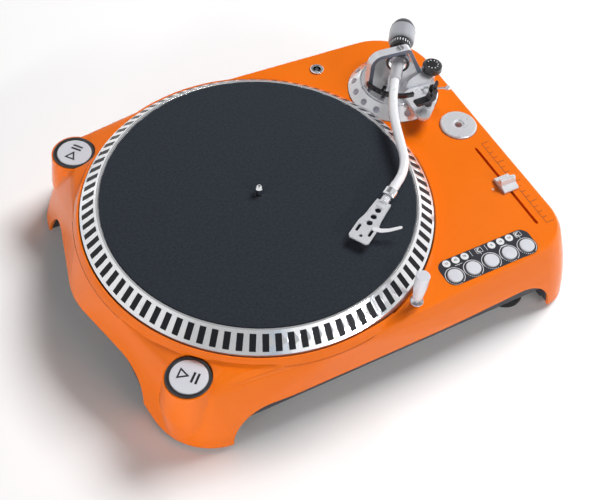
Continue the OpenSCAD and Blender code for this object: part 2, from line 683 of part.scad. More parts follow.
// Outline of the yoke's arch seen from the front, as the inside or outside of its bend
module yoke_arch(d) {
  polygon([[yoke_left + d, platform_z], [yoke_left + d, yoke_top - shoulder_r],
    for (a = [10:10:80]) [yoke_left + shoulder_r - (shoulder_r - d) * cos(a), yoke_top - shoulder_r + (shoulder_r - d) * sin(a)],
    [yoke_left + shoulder_r, yoke_top - d], [8 - d * 0.2, yoke_top - d], [11 - d * 0.3, yoke_top - 2 - d * 0.9],
    [yoke_right + 2 - d * 1.15, platform_z]]);
}

module pivot_yoke() {
  color([0.66, 0.67, 0.7]) on_platter() at_pivot() rotate([0, 0, yoke_turn]) difference() {
    rotate([90, 0, 0]) translate([0, 0, -yoke_w / 2]) linear_extrude(yoke_w) difference() {
      yoke_arch(0);
      difference() {
        yoke_arch(yoke_t);
        translate([-200, platform_z - 1]) square([400, 1]);
      }
      translate([yoke_left + yoke_t, platform_z - 1]) square([yoke_right - yoke_left - 2 * yoke_t + 1, 3]);
    }
    translate([0, 0, yoke_top - 20]) cylinder(r = 2.5 + seat, h = 40);
  }
}

module pivot_screw() {
  color(bright) on_platter() at_pivot() difference() {
    union() {
      translate([0, 0, yoke_top - yoke_t - 0.2]) cylinder(r = 2.5, h = yoke_t + 1);
      translate([0, 0, yoke_top + seat]) cylinder(r = 3.8, h = 1.1);
    }
    translate([0, 0, yoke_top - yoke_t - 1]) cylinder(r = pivot_pin_r + running, h = 3.5);
    translate([-0.5, -5, yoke_top + 0.6]) cube([1, 10, 2]);
  }
}

trunnion_r = 1.2;
module gimbal_ring() {
  color(bright) on_platter() at_arm_head() difference() {
    union() {
      rotate([0, 90, 0]) rotate_extrude() polygon([[gimbal_r - 2.8, -3], [gimbal_r - 0.8, -3.6], [gimbal_r, -3],
        [gimbal_r, 3], [gimbal_r - 0.8, 3.6], [gimbal_r - 2.8, 3]]);
      translate([0, 0, -gimbal_r - 3.5]) cylinder(r = pivot_pin_r, h = 4);
      translate([0, 0, gimbal_r - 0.5]) cylinder(r = pivot_pin_r, h = yoke_top - yoke_t - arm_z - gimbal_r + 2.5);
    }
    rotate([90, 0, 0]) cylinder(r = trunnion_r + running, h = 40, center = true);
  }
}

hub_front = 27;
hub_back = -10;
tube_seat = 8;
module arm_hub() {
  color([0.75, 0.76, 0.79]) on_platter() at_arm() difference() {
    union() {
      rotate([0, 90, 0]) rotate_extrude() polygon([[0, hub_back], [hub_r - 1.5, hub_back], [hub_r - 0.4, hub_back + 2],
        [hub_r, -2], [hub_r, 8], [hub_r - 0.15, 14], [hub_r - 0.5, 20], [tube_r + 0.9, hub_front - 0.7],
        [tube_r + 0.5, hub_front], [0, hub_front]]);
      rotate([90, 0, 0]) cylinder(r = trunnion_r, h = 2 * gimbal_r - 1, center = true);
    }
    translate([hub_front - tube_seat, 0, 0]) rotate([0, 90, 0]) cylinder(r = tube_r + 0.01, h = 20);
    translate([hub_back - 1, 0, 0]) rotate([0, 90, 0]) cylinder(r = shaft_r + 0.01, h = 6);
  }
}

// The tube's course in the arm's own frame: the places after each stretch and bend
module rod(l, r) { rotate([0, 90, 0]) cylinder(r = r, h = l, $fn = 48); }
function ahead(p, l) = [p[0] + l * cos(p[2]), p[1] + l * sin(p[2]), p[2]];
function left(p, r, a) = [p[0] + r * (sin(p[2] + a) - sin(p[2])), p[1] + r * (cos(p[2]) - cos(p[2] + a)), p[2] + a];
function right(p, r, a) = [p[0] + r * (sin(p[2]) - sin(p[2] - a)), p[1] + r * (cos(p[2] - a) - cos(p[2])), p[2] - a];
tube_start = [hub_front - tube_seat, 0, 0];
bend_one_start = [tube_first, 0, 0];
bend_one_end = left(bend_one_start, bend_one_r, bend_one);
bend_two_start = ahead(bend_one_end, tube_middle);
bend_two_end = right(bend_two_start, bend_two_r, bend_two);
tube_end = ahead(bend_two_end, tube_last);
bend_one_steps = 9;
bend_two_steps = 14;
tube_sides = 24;
COURSE = [tube_start, bend_one_start,
  for (k = [1:bend_one_steps]) left(bend_one_start, bend_one_r, bend_one * k / bend_one_steps),
  bend_two_start, for (k = [1:bend_two_steps]) right(bend_two_start, bend_two_r, bend_two * k / bend_two_steps),
  ahead(bend_two_end, tube_last - 2)];
module at_tube_end() { at_arm() translate([tube_end[0], tube_end[1], 0]) rotate([0, 0, tube_end[2]]) children(); }

module swept_tube(course, r, n) {
  last = len(course) - 1;
  polyhedron(
    points = [for (p = course, k = [0:n - 1]) let(a = k * 360 / n)
      [p[0] - r * cos(a) * sin(p[2]), p[1] + r * cos(a) * cos(p[2]), r * sin(a)]],
    faces = [[for (k = [0:n - 1]) k], [for (k = [n - 1:-1:0]) last * n + k],
      for (i = [0:last - 1], k = [0:n - 1]) let(m = (k + 1) % n)
        each [[i * n + k, (i + 1) * n + k, (i + 1) * n + m], [i * n + k, (i + 1) * n + m, i * n + m]]]);
}

ferrule_r = tube_r + 0.3;
ferrule_l = 16;
module arm_tube() {
  color(white) on_platter() difference() {
    union() {
      at_arm() swept_tube(COURSE, tube_r, tube_sides);
      at_tube_end() translate([-ferrule_l, 0, 0]) rod(ferrule_l, ferrule_r);
    }
    at_tube_end() translate([-plug_l - 1, 0, 0]) rod(plug_l + 2, tube_bore);
  }
}

collar_l = 9;
collar_r = 6.8;
collar_at = 2;
plug_l = 14;
module locking_collar() {
  color(bright) on_platter() at_tube_end() rotate([0, 90, 0]) rotate_extrude()
    polygon([[ferrule_r + running, collar_at - collar_l], [collar_r - 0.8, collar_at - collar_l], [collar_r, collar_at - collar_l + 0.8],
      [collar_r, collar_at - 1], [collar_r - 1, collar_at], [ferrule_r + running, collar_at]]);
}

neck_l = 9;
plate_at = 7.5;
plate_step = 31;
back_w = 14.3;
function plate_outline(w) = [[0, -back_w / 2], [plate_step - 9, -back_w / 2 - 1.2], [plate_step, -w / 2],
  [shell_l - 2, -w / 2], [shell_l, -w / 2 + 2], [shell_l, w / 2 - 2], [shell_l - 2, w / 2], [plate_step, w / 2],
  [plate_step - 9, back_w / 2 + 1.2], [0, back_w / 2]];
module headshell() {
  color(bright) on_platter() at_tube_end() difference() {
    union() {
      translate([seat, 0, 0]) rod(plate_at + 2, tube_r - 0.3);
      translate([-plug_l, 0, 0]) rod(plug_l + 1, tube_bore - 0.02);
      translate([plate_at, 0, -shell_t]) linear_extrude(shell_t) polygon(plate_outline(shell_w));
      translate([plate_at - 2, -3.4, -shell_t]) cube([10, 6.8, shell_t + 1.6]);
      translate([plate_at + 1, -back_w / 2, -shell_t - 2.4]) cube([plate_step - 10, 1.4, 3]);
      translate([plate_at + 1, back_w / 2 - 1.4, -shell_t - 2.4]) cube([plate_step - 10, 1.4, 3]);
    }
    for (x = [12, 20.5, 28.5]) translate([plate_at + x, 0, -10]) cylinder(r = 2.9, h = 20, $fn = 48);
    for (y = [-6.35, 6.35]) translate([plate_at + shell_l - 13, y, -10]) linear_extrude(20)
      rounded_bar(9, 2.8, 1.35);
    translate([plate_at + shell_l - 6, 0, -10]) cylinder(r = 1.6, h = 20, $fn = 48);
  }
}

lift_reach = 20;
module finger_lift() {
  color(bright) on_platter() at_tube_end() translate([plate_at + 35, shell_w / 2 - 3, 0]) {
    hull() {
      translate([-2.5, 0, seat]) cylinder(r = 2.2, h = 0.9, $fn = 32);
      translate([-4, 6, seat]) cylinder(r = 2, h = 0.9, $fn = 32);
    }
    hull() {
      translate([-4, 6, seat]) cylinder(r = 2, h = 0.9, $fn = 32);
      translate([-8, 0.6 * lift_reach, 0.6]) cylinder(r = 1.6, h = 0.9, $fn = 32);
    }
    hull() {
      translate([-8, 0.6 * lift_reach, 0.6]) cylinder(r = 1.6, h = 0.9, $fn = 32);
      translate([-15, lift_reach, 2.6]) cylinder(r = 1.3, h = 0.9, $fn = 32);
    }
  }
}

shaft_r = 3.6;
sleeve_r = 6;
weight_from = -27;
dial_from = -18;
dial_r = 10.8;
shaft_end = weight_from - weight_l + 3;
module along_back() { at_arm() rotate([0, -90, 0]) children(); }

module weight_shaft() {
  color(bright) on_platter() along_back() translate([0, 0, 4 - hub_back - 9]) cylinder(r = shaft_r, h = hub_back + 5 - shaft_end);
}

module weight_sleeve() {
  color(black) on_platter() along_back() translate([0, 0, -dial_from]) difference() {
    cylinder(r = sleeve_r, h = dial_from - weight_from + weight_l);
    translate([0, 0, -1]) cylinder(r = shaft_r + running, h = 80);
  }
}

module balance_dial() {
  color(black) on_platter() along_back() translate([0, 0, -dial_from]) difference() {
    rotate_extrude() polygon([[sleeve_r + running, 0], [dial_r - 2, 0], [dial_r - 1, 1], [dial_r, 2.5], [dial_r, 8.4],
      [sleeve_r + running, 8.4]]);
    for (k = [0:23]) rotate([0, 0, k * 15]) translate([dial_r + 0.4, 0, -1]) cylinder(r = 0.8, h = 11, $fn = 16);
  }
}

module counterweight() {
  color([0.6, 0.61, 0.64]) on_platter() along_back() translate([0, 0, -weight_from]) rotate_extrude()
    polygon([[sleeve_r + running, 0.1], [weight_r - 2.2, 0.1], [weight_r - 0.8, 1], [weight_r, 3.5], [weight_r, weight_l * 0.72],
      [weight_r - 0.7, weight_l * 0.88], [weight_r - 2, weight_l - 0.1], [sleeve_r + running, weight_l - 0.1]]);
}

cap_l = 4;
module weight_cap() {
  color(black) on_platter() along_back() translate([0, 0, weight_l - weight_from]) rotate_extrude()
    polygon([[0, 0], [weight_r - 2.4, 0], [weight_r - 3.6, cap_l - 1], [weight_r - 4.6, cap_l], [0, cap_l]]);
}

bracket_t = 4;
block_h = 8;
knob_at = [38.3, -9.2];
knob_r = 10.5;
knob_z = -1.2;
knob_h = 10;
cue_at = [20.5, -30];
cue_turn = -27;
cue_len = 20;
rest_at = [1.7, -50];
rest_post = [9.5, -49];
module arm_bracket() {
  color(bright) on_platter() at_pivot() difference() {
    union() {
      translate([0, 0, platform_z]) linear_extrude(bracket_t)
        polygon([[-5, -24], [-7, -59], [-3, -63], [4, -62], [16, -52], [29, -34], [36, -18], [30, -10], [8, -18]]);
      translate([0, 0, platform_z]) linear_extrude(block_h)
        polygon([[2, -19], [28, -21], [38, -17], [44, -9], [40, -2], [34, -1], [20, -9], [8, -13]]);
      translate([cue_at[0], cue_at[1], platform_z]) cylinder(r = 4.2, h = 8);
      translate([rest_post[0], rest_post[1], platform_z]) cylinder(r = 4.5, h = bracket_t + 2);
    }
    rotate([0, 0, yoke_turn]) translate([yoke_right - yoke_t - 4, -yoke_w / 2 - clear, platform_z - 1])
      cube([40, yoke_w + 2 * clear, 20]);
    translate([knob_at[0], knob_at[1], platform_z + 2]) cylinder(r = 2 + running, h = 20);
    translate([rest_post[0], rest_post[1], platform_z + 2]) cylinder(r = 2.5 + seat, h = 20);
    translate([cue_at[0], cue_at[1], platform_z + 6]) rotate([0, 0, cue_turn])
      rotate([90, 0, 0]) cylinder(r = 1.5 + running, h = 20, center = true);
    translate([cue_at[0], cue_at[1], platform_z + 3.1]) rotate([0, 0, cue_turn]) translate([-6, -1.5 - clear, 0])
      cube([20, 3 + 2 * clear, 20]);
    translate([0, 0, platform_z - 1]) rotate([0, 0, 246]) translate([lifter_r, 0, 0]) cylinder(r = 4, h = 20);
  }
}

module antiskate_knob() {
  color(black) on_platter() at_pivot() translate([knob_at[0], knob_at[1], knob_z]) difference() {
    union() {
      rotate_extrude() polygon([[0, 1.5], [knob_r - 1, 1.5], [knob_r, 2.4], [knob_r - 0.4, knob_h - 1.6], [knob_r - 1.6, knob_h - 0.6],
        [knob_r - 3, knob_h], [knob_r - 3.4, knob_h - 0.5], [0, knob_h - 0.5]]);
      translate([0, 0, platform_z + 2.5 - knob_z]) cylinder(r = 2, h = 8);
    }
    for (k = [0:35]) rotate([0, 0, k * 10]) translate([knob_r + 0.45, 0, 0]) cylinder(r = 0.8, h = knob_h - 1.4, $fn = 16);
  }
}

module cue_lever() {
  color(bright) on_platter() at_pivot() translate([cue_at[0], cue_at[1], platform_z + 6]) rotate([0, 0, cue_turn]) {
    rotate([90, 0, 0]) cylinder(r = 1.5, h = 8, center = true);
    translate([0, 1.5, 0]) rotate([90, 0, 0]) cylinder(r = 2.6, h = 3);
    translate([1, 0, 0.5]) rotate([0, 84, 0]) cylinder(r = 1, h = cue_len - 2);
    translate([1, 0, 0.5]) rotate([0, 84, 0]) translate([0, 0, cue_len]) sphere(r = 2.8);
  }
}

lifter_r = 36;
lifter_z = 3;
lifter_h = 4.5;
lifter_turn = [184, 268];
lifter_post_turn = 214;
lifter_pin_r = 2;
module cue_lifter() {
  color(black) on_platter() at_pivot() {
    translate([0, 0, lifter_z]) rotate([0, 0, lifter_turn[0]]) rotate_extrude(angle = lifter_turn[1] - lifter_turn[0])
      translate([lifter_r - 1.5, 0]) square([3, lifter_h]);
    rotate([0, 0, lifter_post_turn]) {
      translate([lifter_r - 7, -1.5, lifter_z]) cube([6.5, 3, 3]);
      translate([lifter_r - 8, 0, platform_z - 3.4]) cylinder(r = lifter_pin_r, h = lifter_z - platform_z + 6.4);
    }
  }
}

// The rest is a hook that the parked tube swings into from the left
rest_z = 16.4;
rest_y = [-54, -46];
module arm_rest() {
  color(black) on_platter() at_pivot() difference() {
    union() {
      translate([rest_post[0], rest_post[1], platform_z + 2 + seat]) cylinder(r = 2.5, h = 4);
      translate([rest_post[0], rest_post[1], platform_z + bracket_t + 2]) cylinder(r = 4, h = 9);
      translate([0, rest_y[1], 0]) rotate([90, 0, 0]) linear_extrude(rest_y[1] - rest_y[0])
        polygon([[-8, 6.2], [-6, 5], [10, 5], [14, 8], [14, 20], [12.5, 22.5], [9.5, 22.5], [8.6, 20],
          [8.6, 12], [6.4, 8.6], [-7.5, 8.6]]);
    }
    translate([11.5, -50, 19.5]) rotate([90, 0, 0]) cylinder(r = 1.2 + running, h = 30, center = true);
    translate([7, -50 - 1.6 - clear, 15.8]) cube([10, 3.2 + 2 * clear, 10]);
  }
}

// The clamp swings over the parked tube on a pin through the hook
module rest_clamp() {
  color(black) on_platter() at_pivot() translate([11.5, -50, 19.5]) {
    rotate([90, 0, 0]) cylinder(r = 1.2, h = 7.6, center = true);
    translate([0, 1.6, 0]) rotate([90, 0, 0]) linear_extrude(3.2)
      polygon([[-1.8, -1.2], [1.2, -2.2], [2.6, 0], [3.6, 6], [3.2, 9.5], [1.8, 9.5], [1.2, 7], [-1.2, 2.4]]);
  }
}

// The board stands on four pillars on the cover, between the motor and the fader
board_t = 1.6;
board_l = 100;
board_w = 120;
board_edge = 5;
pillar_h = 6;
board_x = fader_x - 112.7;
module main_board() {
  color([0.1, 0.35, 0.2]) on_platter() translate([board_x, -board_w / 2, cover_z + cover_t]) {
    for (x = [board_edge, board_l - board_edge], y = [board_edge, board_w - board_edge]) translate([x, y, 0])
      cylinder(r = 3, h = pillar_h);
    translate([0, 0, pillar_h]) cube([board_l, board_w, board_t]);
    translate([board_l * 0.12, board_w / 6, pillar_h + board_t]) cube([18, 18, 2]);
    translate([board_l * 0.45, board_w / 2, pillar_h + board_t]) cube([12, 26, 3]);
    for (k = [0:2]) translate([board_l * 0.8, board_w / 6 + 16 * k, pillar_h + board_t]) cylinder(r = 5, h = 14);
  }
}

module transformer() {
  color(grey) on_platter() translate([-60, 75, cover_z + cover_t]) {
    cube([58, 50, 3]);
    translate([4, 5, 3]) cube([50, 40, 26]);
    translate([12, 0, 8]) cube([34, 50, 17]);
  }
}

// The rear panel stands on the cover's rear wall, under the housing's rear arch
rear_face = foot_rear - wall - cover_inset;
rear_t = 1.5;
rear_from = 0;
rear_to = 184;
rear_z = cover_z + 2.5;
rear_h = 19;
rear_mid_z = rear_z + rear_h / 2;
sockets_x = [16, 34];
ground_x = 52;
line_x = 70;
usb_x = 92;
power_x = 122;
inlet_x = 158;
module at_rear(x) { translate([x, rear_face + rear_t, rear_mid_z]) rotate([-90, 0, 0]) children(); }
// A block through the rear panel, w wide and h high, from depth inside to proud outside
module rear_block(x, w, h, depth, proud) {
  translate([x - w / 2, rear_face + rear_t - depth, rear_mid_z - h / 2]) cube([w, depth + proud, h]);
}

module rear_window() {
  translate([rear_from + 5, rear_face - cover_t - 1, rear_z + 1.5])
    cube([rear_to - rear_from - 10, cover_t + 2, rear_h - 3]);
}

module rear_panel() {
  color(black) on_platter() difference() {
    translate([rear_from, rear_face, rear_z]) cube([rear_to - rear_from, rear_t, rear_h]);
    for (x = sockets_x) at_rear(x) translate([0, 0, -9]) cylinder(r = 4.2 + seat, h = 20);
    at_rear(ground_x) translate([0, 0, -9]) cylinder(r = 2 + seat, h = 20);
    rear_block(line_x, 9 + 2 * seat, 5 + 2 * seat, 9, 9);
    rear_block(usb_x, 12 + 2 * seat, 11 + 2 * seat, 9, 9);
    rear_block(power_x, 21 + 2 * seat, 13 + 2 * seat, 9, 9);
    rear_block(inlet_x, 27 + 2 * seat, 15 + 2 * seat, 9, 9);
  }
}

// Two phono sockets and the ground post beside them
module line_terminals() {
  color([0.85, 0.7, 0.3]) on_platter() {
    for (x = sockets_x) at_rear(x) difference() {
      union() {
        translate([0, 0, -8]) cylinder(r = 4.2, h = 16);
        cylinder(r = 5.6, h = 1.5);
      }
      translate([0, 0, 1]) cylinder(r = 1.7, h = 20);
    }
    at_rear(ground_x) {
      translate([0, 0, -6]) cylinder(r = 2, h = 14);
      translate([0, 0, 2]) cylinder(r = 4.4, h = 5);
    }
  }
}

module mains_inlet() {
  color(black) on_platter() difference() {
    union() {
      rear_block(inlet_x, 27, 15, 16, 0.5);
      translate([inlet_x - 15, rear_face + rear_t, rear_mid_z - 9]) cube([30, 2, 18]);
    }
    rear_block(inlet_x, 23, 11, 12, 10);
  }
}

module usb_socket() {
  color(bright) on_platter() difference() {
    rear_block(usb_x, 12, 11, 15, 1);
    rear_block(usb_x, 8.5, 7.8, 9, 10);
  }
}

rocker_pin_r = 1;
rocker_tilt = 8;
module at_rocker() { translate([power_x, rear_face + rear_t - 0.8, rear_mid_z]) children(); }
module power_switch() {
  color(black) on_platter() {
    rear_block(power_x, 21, 13, 14, -4);
    difference() {
      union() {
        rear_block(power_x, 21, 13, 6, 0.4);
        translate([power_x - 12.5, rear_face + rear_t, rear_mid_z - 8]) cube([25, 1.5, 16]);
      }
      rear_block(power_x, 17, 10, 4, 10);
      at_rocker() cylinder(r = rocker_pin_r + running, h = 11.6, center = true);
    }
  }
}

module power_rocker() {
  color(black) on_platter() at_rocker() rotate([0, 0, -rocker_tilt]) {
    linear_extrude(9.4, center = true) polygon([[-7.8, -0.3], [0, -1.9], [7.8, -0.3], [7.8, 3.3], [0, 1.9], [-7.8, 3.3]]);
    cylinder(r = rocker_pin_r, h = 11.4, center = true);
  }
}

module line_switch() {
  color(black) on_platter() difference() {
    rear_block(line_x, 9, 5, 10, 0.3);
    rear_block(line_x, 7, 3, 3, 10);
  }
}

module line_slider() {
  color(white) on_platter() rear_block(line_x - 2, 2.6, 2.6, 2.7, 2);
}

top_housing();
bottom_cover();
cover_screws();
for (i = [0:3]) foot(i);  // rubber_feet
platter();
strobe_marks();
rotor_magnet();
spindle();
slipmat();
motor_stator();
spindle_bearing();
start_bezel(-boss_front);  // front_start_bezel
start_cap(-boss_front);  // front_start_cap
start_bezel(boss_rear);  // rear_start_bezel
start_cap(boss_rear);  // rear_start_cap
control_panel();
panel_key(1);  // panel_key_1
panel_key(2);  // panel_key_2
panel_key(3);  // panel_key_3
panel_key(4);  // panel_key_4
panel_key(5);  // panel_key_5
indicator_lenses();
fader_knob();
fader_unit();
lamp_socket();
target_lamp();
record_adaptor();
headshell_socket();
arm_base();
height_ring();
arm_platform();
pivot_yoke();
pivot_screw();
gimbal_ring();
arm_hub();
arm_tube();
locking_collar();
headshell();
finger_lift();
weight_shaft();
weight_sleeve();
balance_dial();
counterweight();
weight_cap();
arm_bracket();
antiskate_knob();
cue_lever();
cue_lifter();
arm_rest();
rest_clamp();
main_board();
transformer();
rear_panel();
line_terminals();
mains_inlet();
usb_socket();
power_switch();
power_rocker();
line_switch();
line_slider();
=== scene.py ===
import json
import math

import bmesh
import bpy
from mathutils import Matrix, Vector


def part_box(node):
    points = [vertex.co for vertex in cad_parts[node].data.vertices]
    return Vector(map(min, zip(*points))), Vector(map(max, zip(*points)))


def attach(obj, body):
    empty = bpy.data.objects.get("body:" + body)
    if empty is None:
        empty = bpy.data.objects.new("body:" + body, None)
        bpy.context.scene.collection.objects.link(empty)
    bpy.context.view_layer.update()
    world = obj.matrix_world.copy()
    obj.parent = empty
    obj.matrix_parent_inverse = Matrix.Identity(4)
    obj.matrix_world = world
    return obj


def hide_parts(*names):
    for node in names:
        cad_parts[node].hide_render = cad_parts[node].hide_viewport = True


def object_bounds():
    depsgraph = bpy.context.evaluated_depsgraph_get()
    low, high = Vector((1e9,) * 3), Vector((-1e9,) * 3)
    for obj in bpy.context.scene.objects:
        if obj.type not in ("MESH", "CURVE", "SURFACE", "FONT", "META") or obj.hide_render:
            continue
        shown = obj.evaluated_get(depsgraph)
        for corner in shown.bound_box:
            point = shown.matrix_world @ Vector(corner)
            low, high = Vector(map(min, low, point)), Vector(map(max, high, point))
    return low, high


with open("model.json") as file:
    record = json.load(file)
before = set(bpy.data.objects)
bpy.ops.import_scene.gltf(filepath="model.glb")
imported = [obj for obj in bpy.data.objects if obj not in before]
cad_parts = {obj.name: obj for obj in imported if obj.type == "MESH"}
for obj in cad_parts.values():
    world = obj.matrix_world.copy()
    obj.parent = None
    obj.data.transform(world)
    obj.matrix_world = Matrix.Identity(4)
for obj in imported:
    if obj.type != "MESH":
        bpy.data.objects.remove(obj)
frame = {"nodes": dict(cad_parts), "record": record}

cad_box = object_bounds()

# Housing
# The real piece is one moulded ABS shell in high-gloss orange lacquer, 3 mm thick, with four
# arched legs. It is screwed from below to the dark bottom cover.
nodes = frame["nodes"]
body_of = {node: body for body, members in frame["record"]["behaviour"]["bodies"].items()
           for node in members}
mat_low, mat_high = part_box("slipmat")
AXIS = Vector(((mat_low.x + mat_high.x) / 2, (mat_low.y + mat_high.y) / 2, mat_high.z))


def deck(x, y, z):
    """A place in mm from the platter's axis and the slipmat's top, in metres in the frame."""
    return AXIS + Vector((x, y, z)) / 1000


def new_node(tree, kind, inputs=None, **settings):
    """A node with its settings; each input is linked to an output of another, or has a value."""
    node = tree.nodes.new(kind)
    for label, value in settings.items():
        setattr(node, label, value)
    for socket, value in (inputs or {}).items():
        if hasattr(value, "is_output"):
            tree.links.new(value, node.inputs[socket])
        else:
            node.inputs[socket].default_value = value
    return node


def math_node(tree, operation, a, b=None, clamp=False):
    inputs = {0: a} if b is None else {0: a, 1: b}
    return new_node(tree, "ShaderNodeMath", inputs, operation=operation, use_clamp=clamp).outputs[0]


def noise(tree, place, scale, detail, rough=0.55):
    inputs = {"Vector": place, "Scale": scale, "Detail": detail, "Roughness": rough}
    return new_node(tree, "ShaderNodeTexNoise", inputs).outputs["Fac"]


def object_place(tree):
    return new_node(tree, "ShaderNodeTexCoord").outputs["Object"]


def new_group(kind, name, inputs, outputs):
    """An empty node group with inputs {label: (type, value)} and outputs {label: type}."""
    tree = bpy.data.node_groups.new(name, kind)
    for label, (socket, value) in inputs.items():
        made = tree.interface.new_socket(label, in_out="INPUT", socket_type="NodeSocket" + socket)
        if value is not None:
            made.default_value = value
    for label, socket in outputs.items():
        tree.interface.new_socket(label, in_out="OUTPUT", socket_type="NodeSocket" + socket)
    return tree, tree.nodes.new("NodeGroupInput"), tree.nodes.new("NodeGroupOutput")


def use_group(tree, group, **values):
    """A group's node; the names of its inputs have _ for each space."""
    inputs = {label.replace("_", " "): value for label, value in values.items()}
    return new_node(tree, "ShaderNodeGroup", inputs, node_tree=group)


# What handling leaves on every finish: a slow drift of tone, and a dull film of dust and fingers
handled, start, end = new_group(
    "ShaderNodeTree", "handled surface",
    {"Drift scale": ("Float", 14.0), "Film scale": ("Float", 60.0),
     "Base roughness": ("Float", 0.3), "Film": ("Float", 0.08)},
    {"Tone": "Float", "Roughness": "Float"})
place = object_place(handled)
drift = noise(handled, place, start.outputs["Drift scale"], 2)
handled.links.new(drift, end.inputs["Tone"])
film = noise(handled, place, start.outputs["Film scale"], 5, 0.65)
film = math_node(handled, "SUBTRACT", film, 0.45)
film = math_node(handled, "MULTIPLY", film, start.outputs["Film"])
film = math_node(handled, "ADD", film, start.outputs["Base roughness"], clamp=True)
handled.links.new(film, end.inputs["Roughness"])

# The fine grain of a moulded or cast skin, as a height for a bump
grain, start, end = new_group(
    "ShaderNodeTree", "moulded grain",
    {"Grain scale": ("Float", 900.0), "Ripple scale": ("Float", 90.0), "Ripple": ("Float", 0.3)},
    {"Height": "Float"})
place = object_place(grain)
fine = noise(grain, place, start.outputs["Grain scale"], 2)
ripple = noise(grain, place, start.outputs["Ripple scale"], 1)
ripple = math_node(grain, "MULTIPLY", ripple, start.outputs["Ripple"])
grain.links.new(math_node(grain, "ADD", fine, ripple), end.inputs["Height"])


def tinted(tree, shader, tone, colour, other):
    """Base Color drifts between two close colours with the tone."""
    ramp = new_node(tree, "ShaderNodeValToRGB", {"Fac": tone})
    for element, at, shade in zip(ramp.color_ramp.elements, (0.3, 0.7), (colour, other)):
        element.position = at
        element.color = (*shade, 1)
    tree.links.new(ramp.outputs["Color"], shader.inputs["Base Color"])


def bumped(tree, shader, height, strength, distance):
    bump = new_node(tree, "ShaderNodeBump",
                    {"Height": height, "Strength": strength, "Distance": distance})
    tree.links.new(bump.outputs["Normal"], shader.inputs["Normal"])


def finish(name, colour, rough, metal=0.0, coat=0.0, coat_rough=0.03, sheen=0.0, specular=0.5):
    """A new material with its shader's own sockets set, as (material, tree, shader)."""
    made = bpy.data.materials.new(name)
    made.use_nodes = True
    shader = made.node_tree.nodes["Principled BSDF"]
    values = {"Base Color": (*colour, 1), "Roughness": rough, "Metallic": metal,
              "Coat Weight": coat, "Coat Roughness": coat_rough, "Sheen Weight": sheen,
              "Specular IOR Level": specular}
    for label, value in values.items():
        shader.inputs[label].default_value = value
    return made, made.node_tree, shader


def plain_finish(name, colour, other, rough, film=0.08, drift=14.0, grain_scale=900.0,
                 ripple_scale=90.0, ripple=0.3, depth=0.00004, strength=0.5, **sockets):
    """A material with drifting tone, handled roughness and a fine grain of a depth in metres."""
    made, tree, shader = finish(name, colour, rough, **sockets)
    worn = use_group(tree, handled, Drift_scale=drift, Base_roughness=rough, Film=film)
    tinted(tree, shader, worn.outputs["Tone"], colour, other)
    tree.links.new(worn.outputs["Roughness"], shader.inputs["Roughness"])
    skin = use_group(tree, grain, Grain_scale=grain_scale, Ripple_scale=ripple_scale, Ripple=ripple)
    bumped(tree, shader, skin.outputs["Height"], strength, depth)
    return made


def placed(name, data):
    """A new object for the data, in the scene."""
    made = bpy.data.objects.new(name, data)
    bpy.context.scene.collection.objects.link(made)
    return made


def merged_copy(node, flat):
    """A copy of a CAD node with its triangles joined up and flat faces made whole."""
    mesh = nodes[node].data.copy()
    mesh.name = node + "_skin"
    same_spot = 2e-6
    work = bmesh.new()
    work.from_mesh(mesh)
    bmesh.ops.remove_doubles(work, verts=work.verts, dist=same_spot)
    bmesh.ops.dissolve_degenerate(work, edges=work.edges, dist=same_spot)
    if flat:
        bmesh.ops.dissolve_limit(work, angle_limit=math.radians(flat), verts=work.verts,
                                 edges=work.edges)
    work.to_mesh(mesh)
    work.free()
    mesh.materials.clear()
    return placed(node + "_skin", mesh)


def smooth(piece, angle):
    """Smooth shading with edges over the angle kept sharp and flat faces kept flat."""
    for face in piece.data.polygons:
        face.use_smooth = True
    piece.data.set_sharp_from_angle(angle=math.radians(angle))
    weigh = piece.modifiers.new("flat faces lead", "WEIGHTED_NORMAL")
    weigh.keep_sharp = True
    weigh.weight = 50


def soften(piece, width):
    """Rounds the edges that a mould or a tool leaves rounded, by a width in mm."""
    bevel = piece.modifiers.new("eased edges", "BEVEL")
    bevel.width = width / 1000
    bevel.segments = 2
    bevel.limit_method = "ANGLE"
    bevel.angle_limit = math.radians(32)
    bevel.miter_outer = "MITER_ARC"


def dressed(node, material, ease=0.0, angle=30, flat=0.6):
    """The CAD node's own shape with joined faces, eased edges and a finish, in its place."""
    piece = merged_copy(node, flat)
    piece.data.materials.append(material)
    if ease:
        soften(piece, ease)
    smooth(piece, angle)
    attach(piece, body_of[node])
    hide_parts(node)
    return piece


lacquer = plain_finish("orange lacquer", (0.86, 0.162, 0.004), (0.885, 0.178, 0.006), 0.13,
                       film=0.04, drift=5.0, grain_scale=240.0, ripple_scale=60.0, ripple=1.0,
                       depth=0.00002, strength=0.12, coat=0.38, coat_rough=0.01, specular=0.05)
housing = dressed("top_housing", lacquer, angle=24, flat=0.3)

# Bottom cover and feet
# A dark-grey moulded tray closes the housing from below and fills its legs. Six black screws
# hold it, and four soft rubber feet are pressed into its corners.
dark_skin = plain_finish("dark textured plastic", (0.030, 0.031, 0.038), (0.038, 0.039, 0.047),
                         0.5, film=0.12, grain_scale=1400.0, depth=0.00008, strength=0.6)
dressed("bottom_cover", dark_skin, angle=24, flat=0.3)
foot_rubber = plain_finish("foot rubber", (0.012, 0.012, 0.013), (0.020, 0.020, 0.021), 0.72,
                           film=0.15, grain_scale=1800.0, depth=0.0001, specular=0.3)
blackened = plain_finish("blackened screw steel", (0.055, 0.055, 0.06), (0.09, 0.09, 0.095),
                         0.36, film=0.2, grain_scale=3000.0, depth=0.00002, metal=1.0)


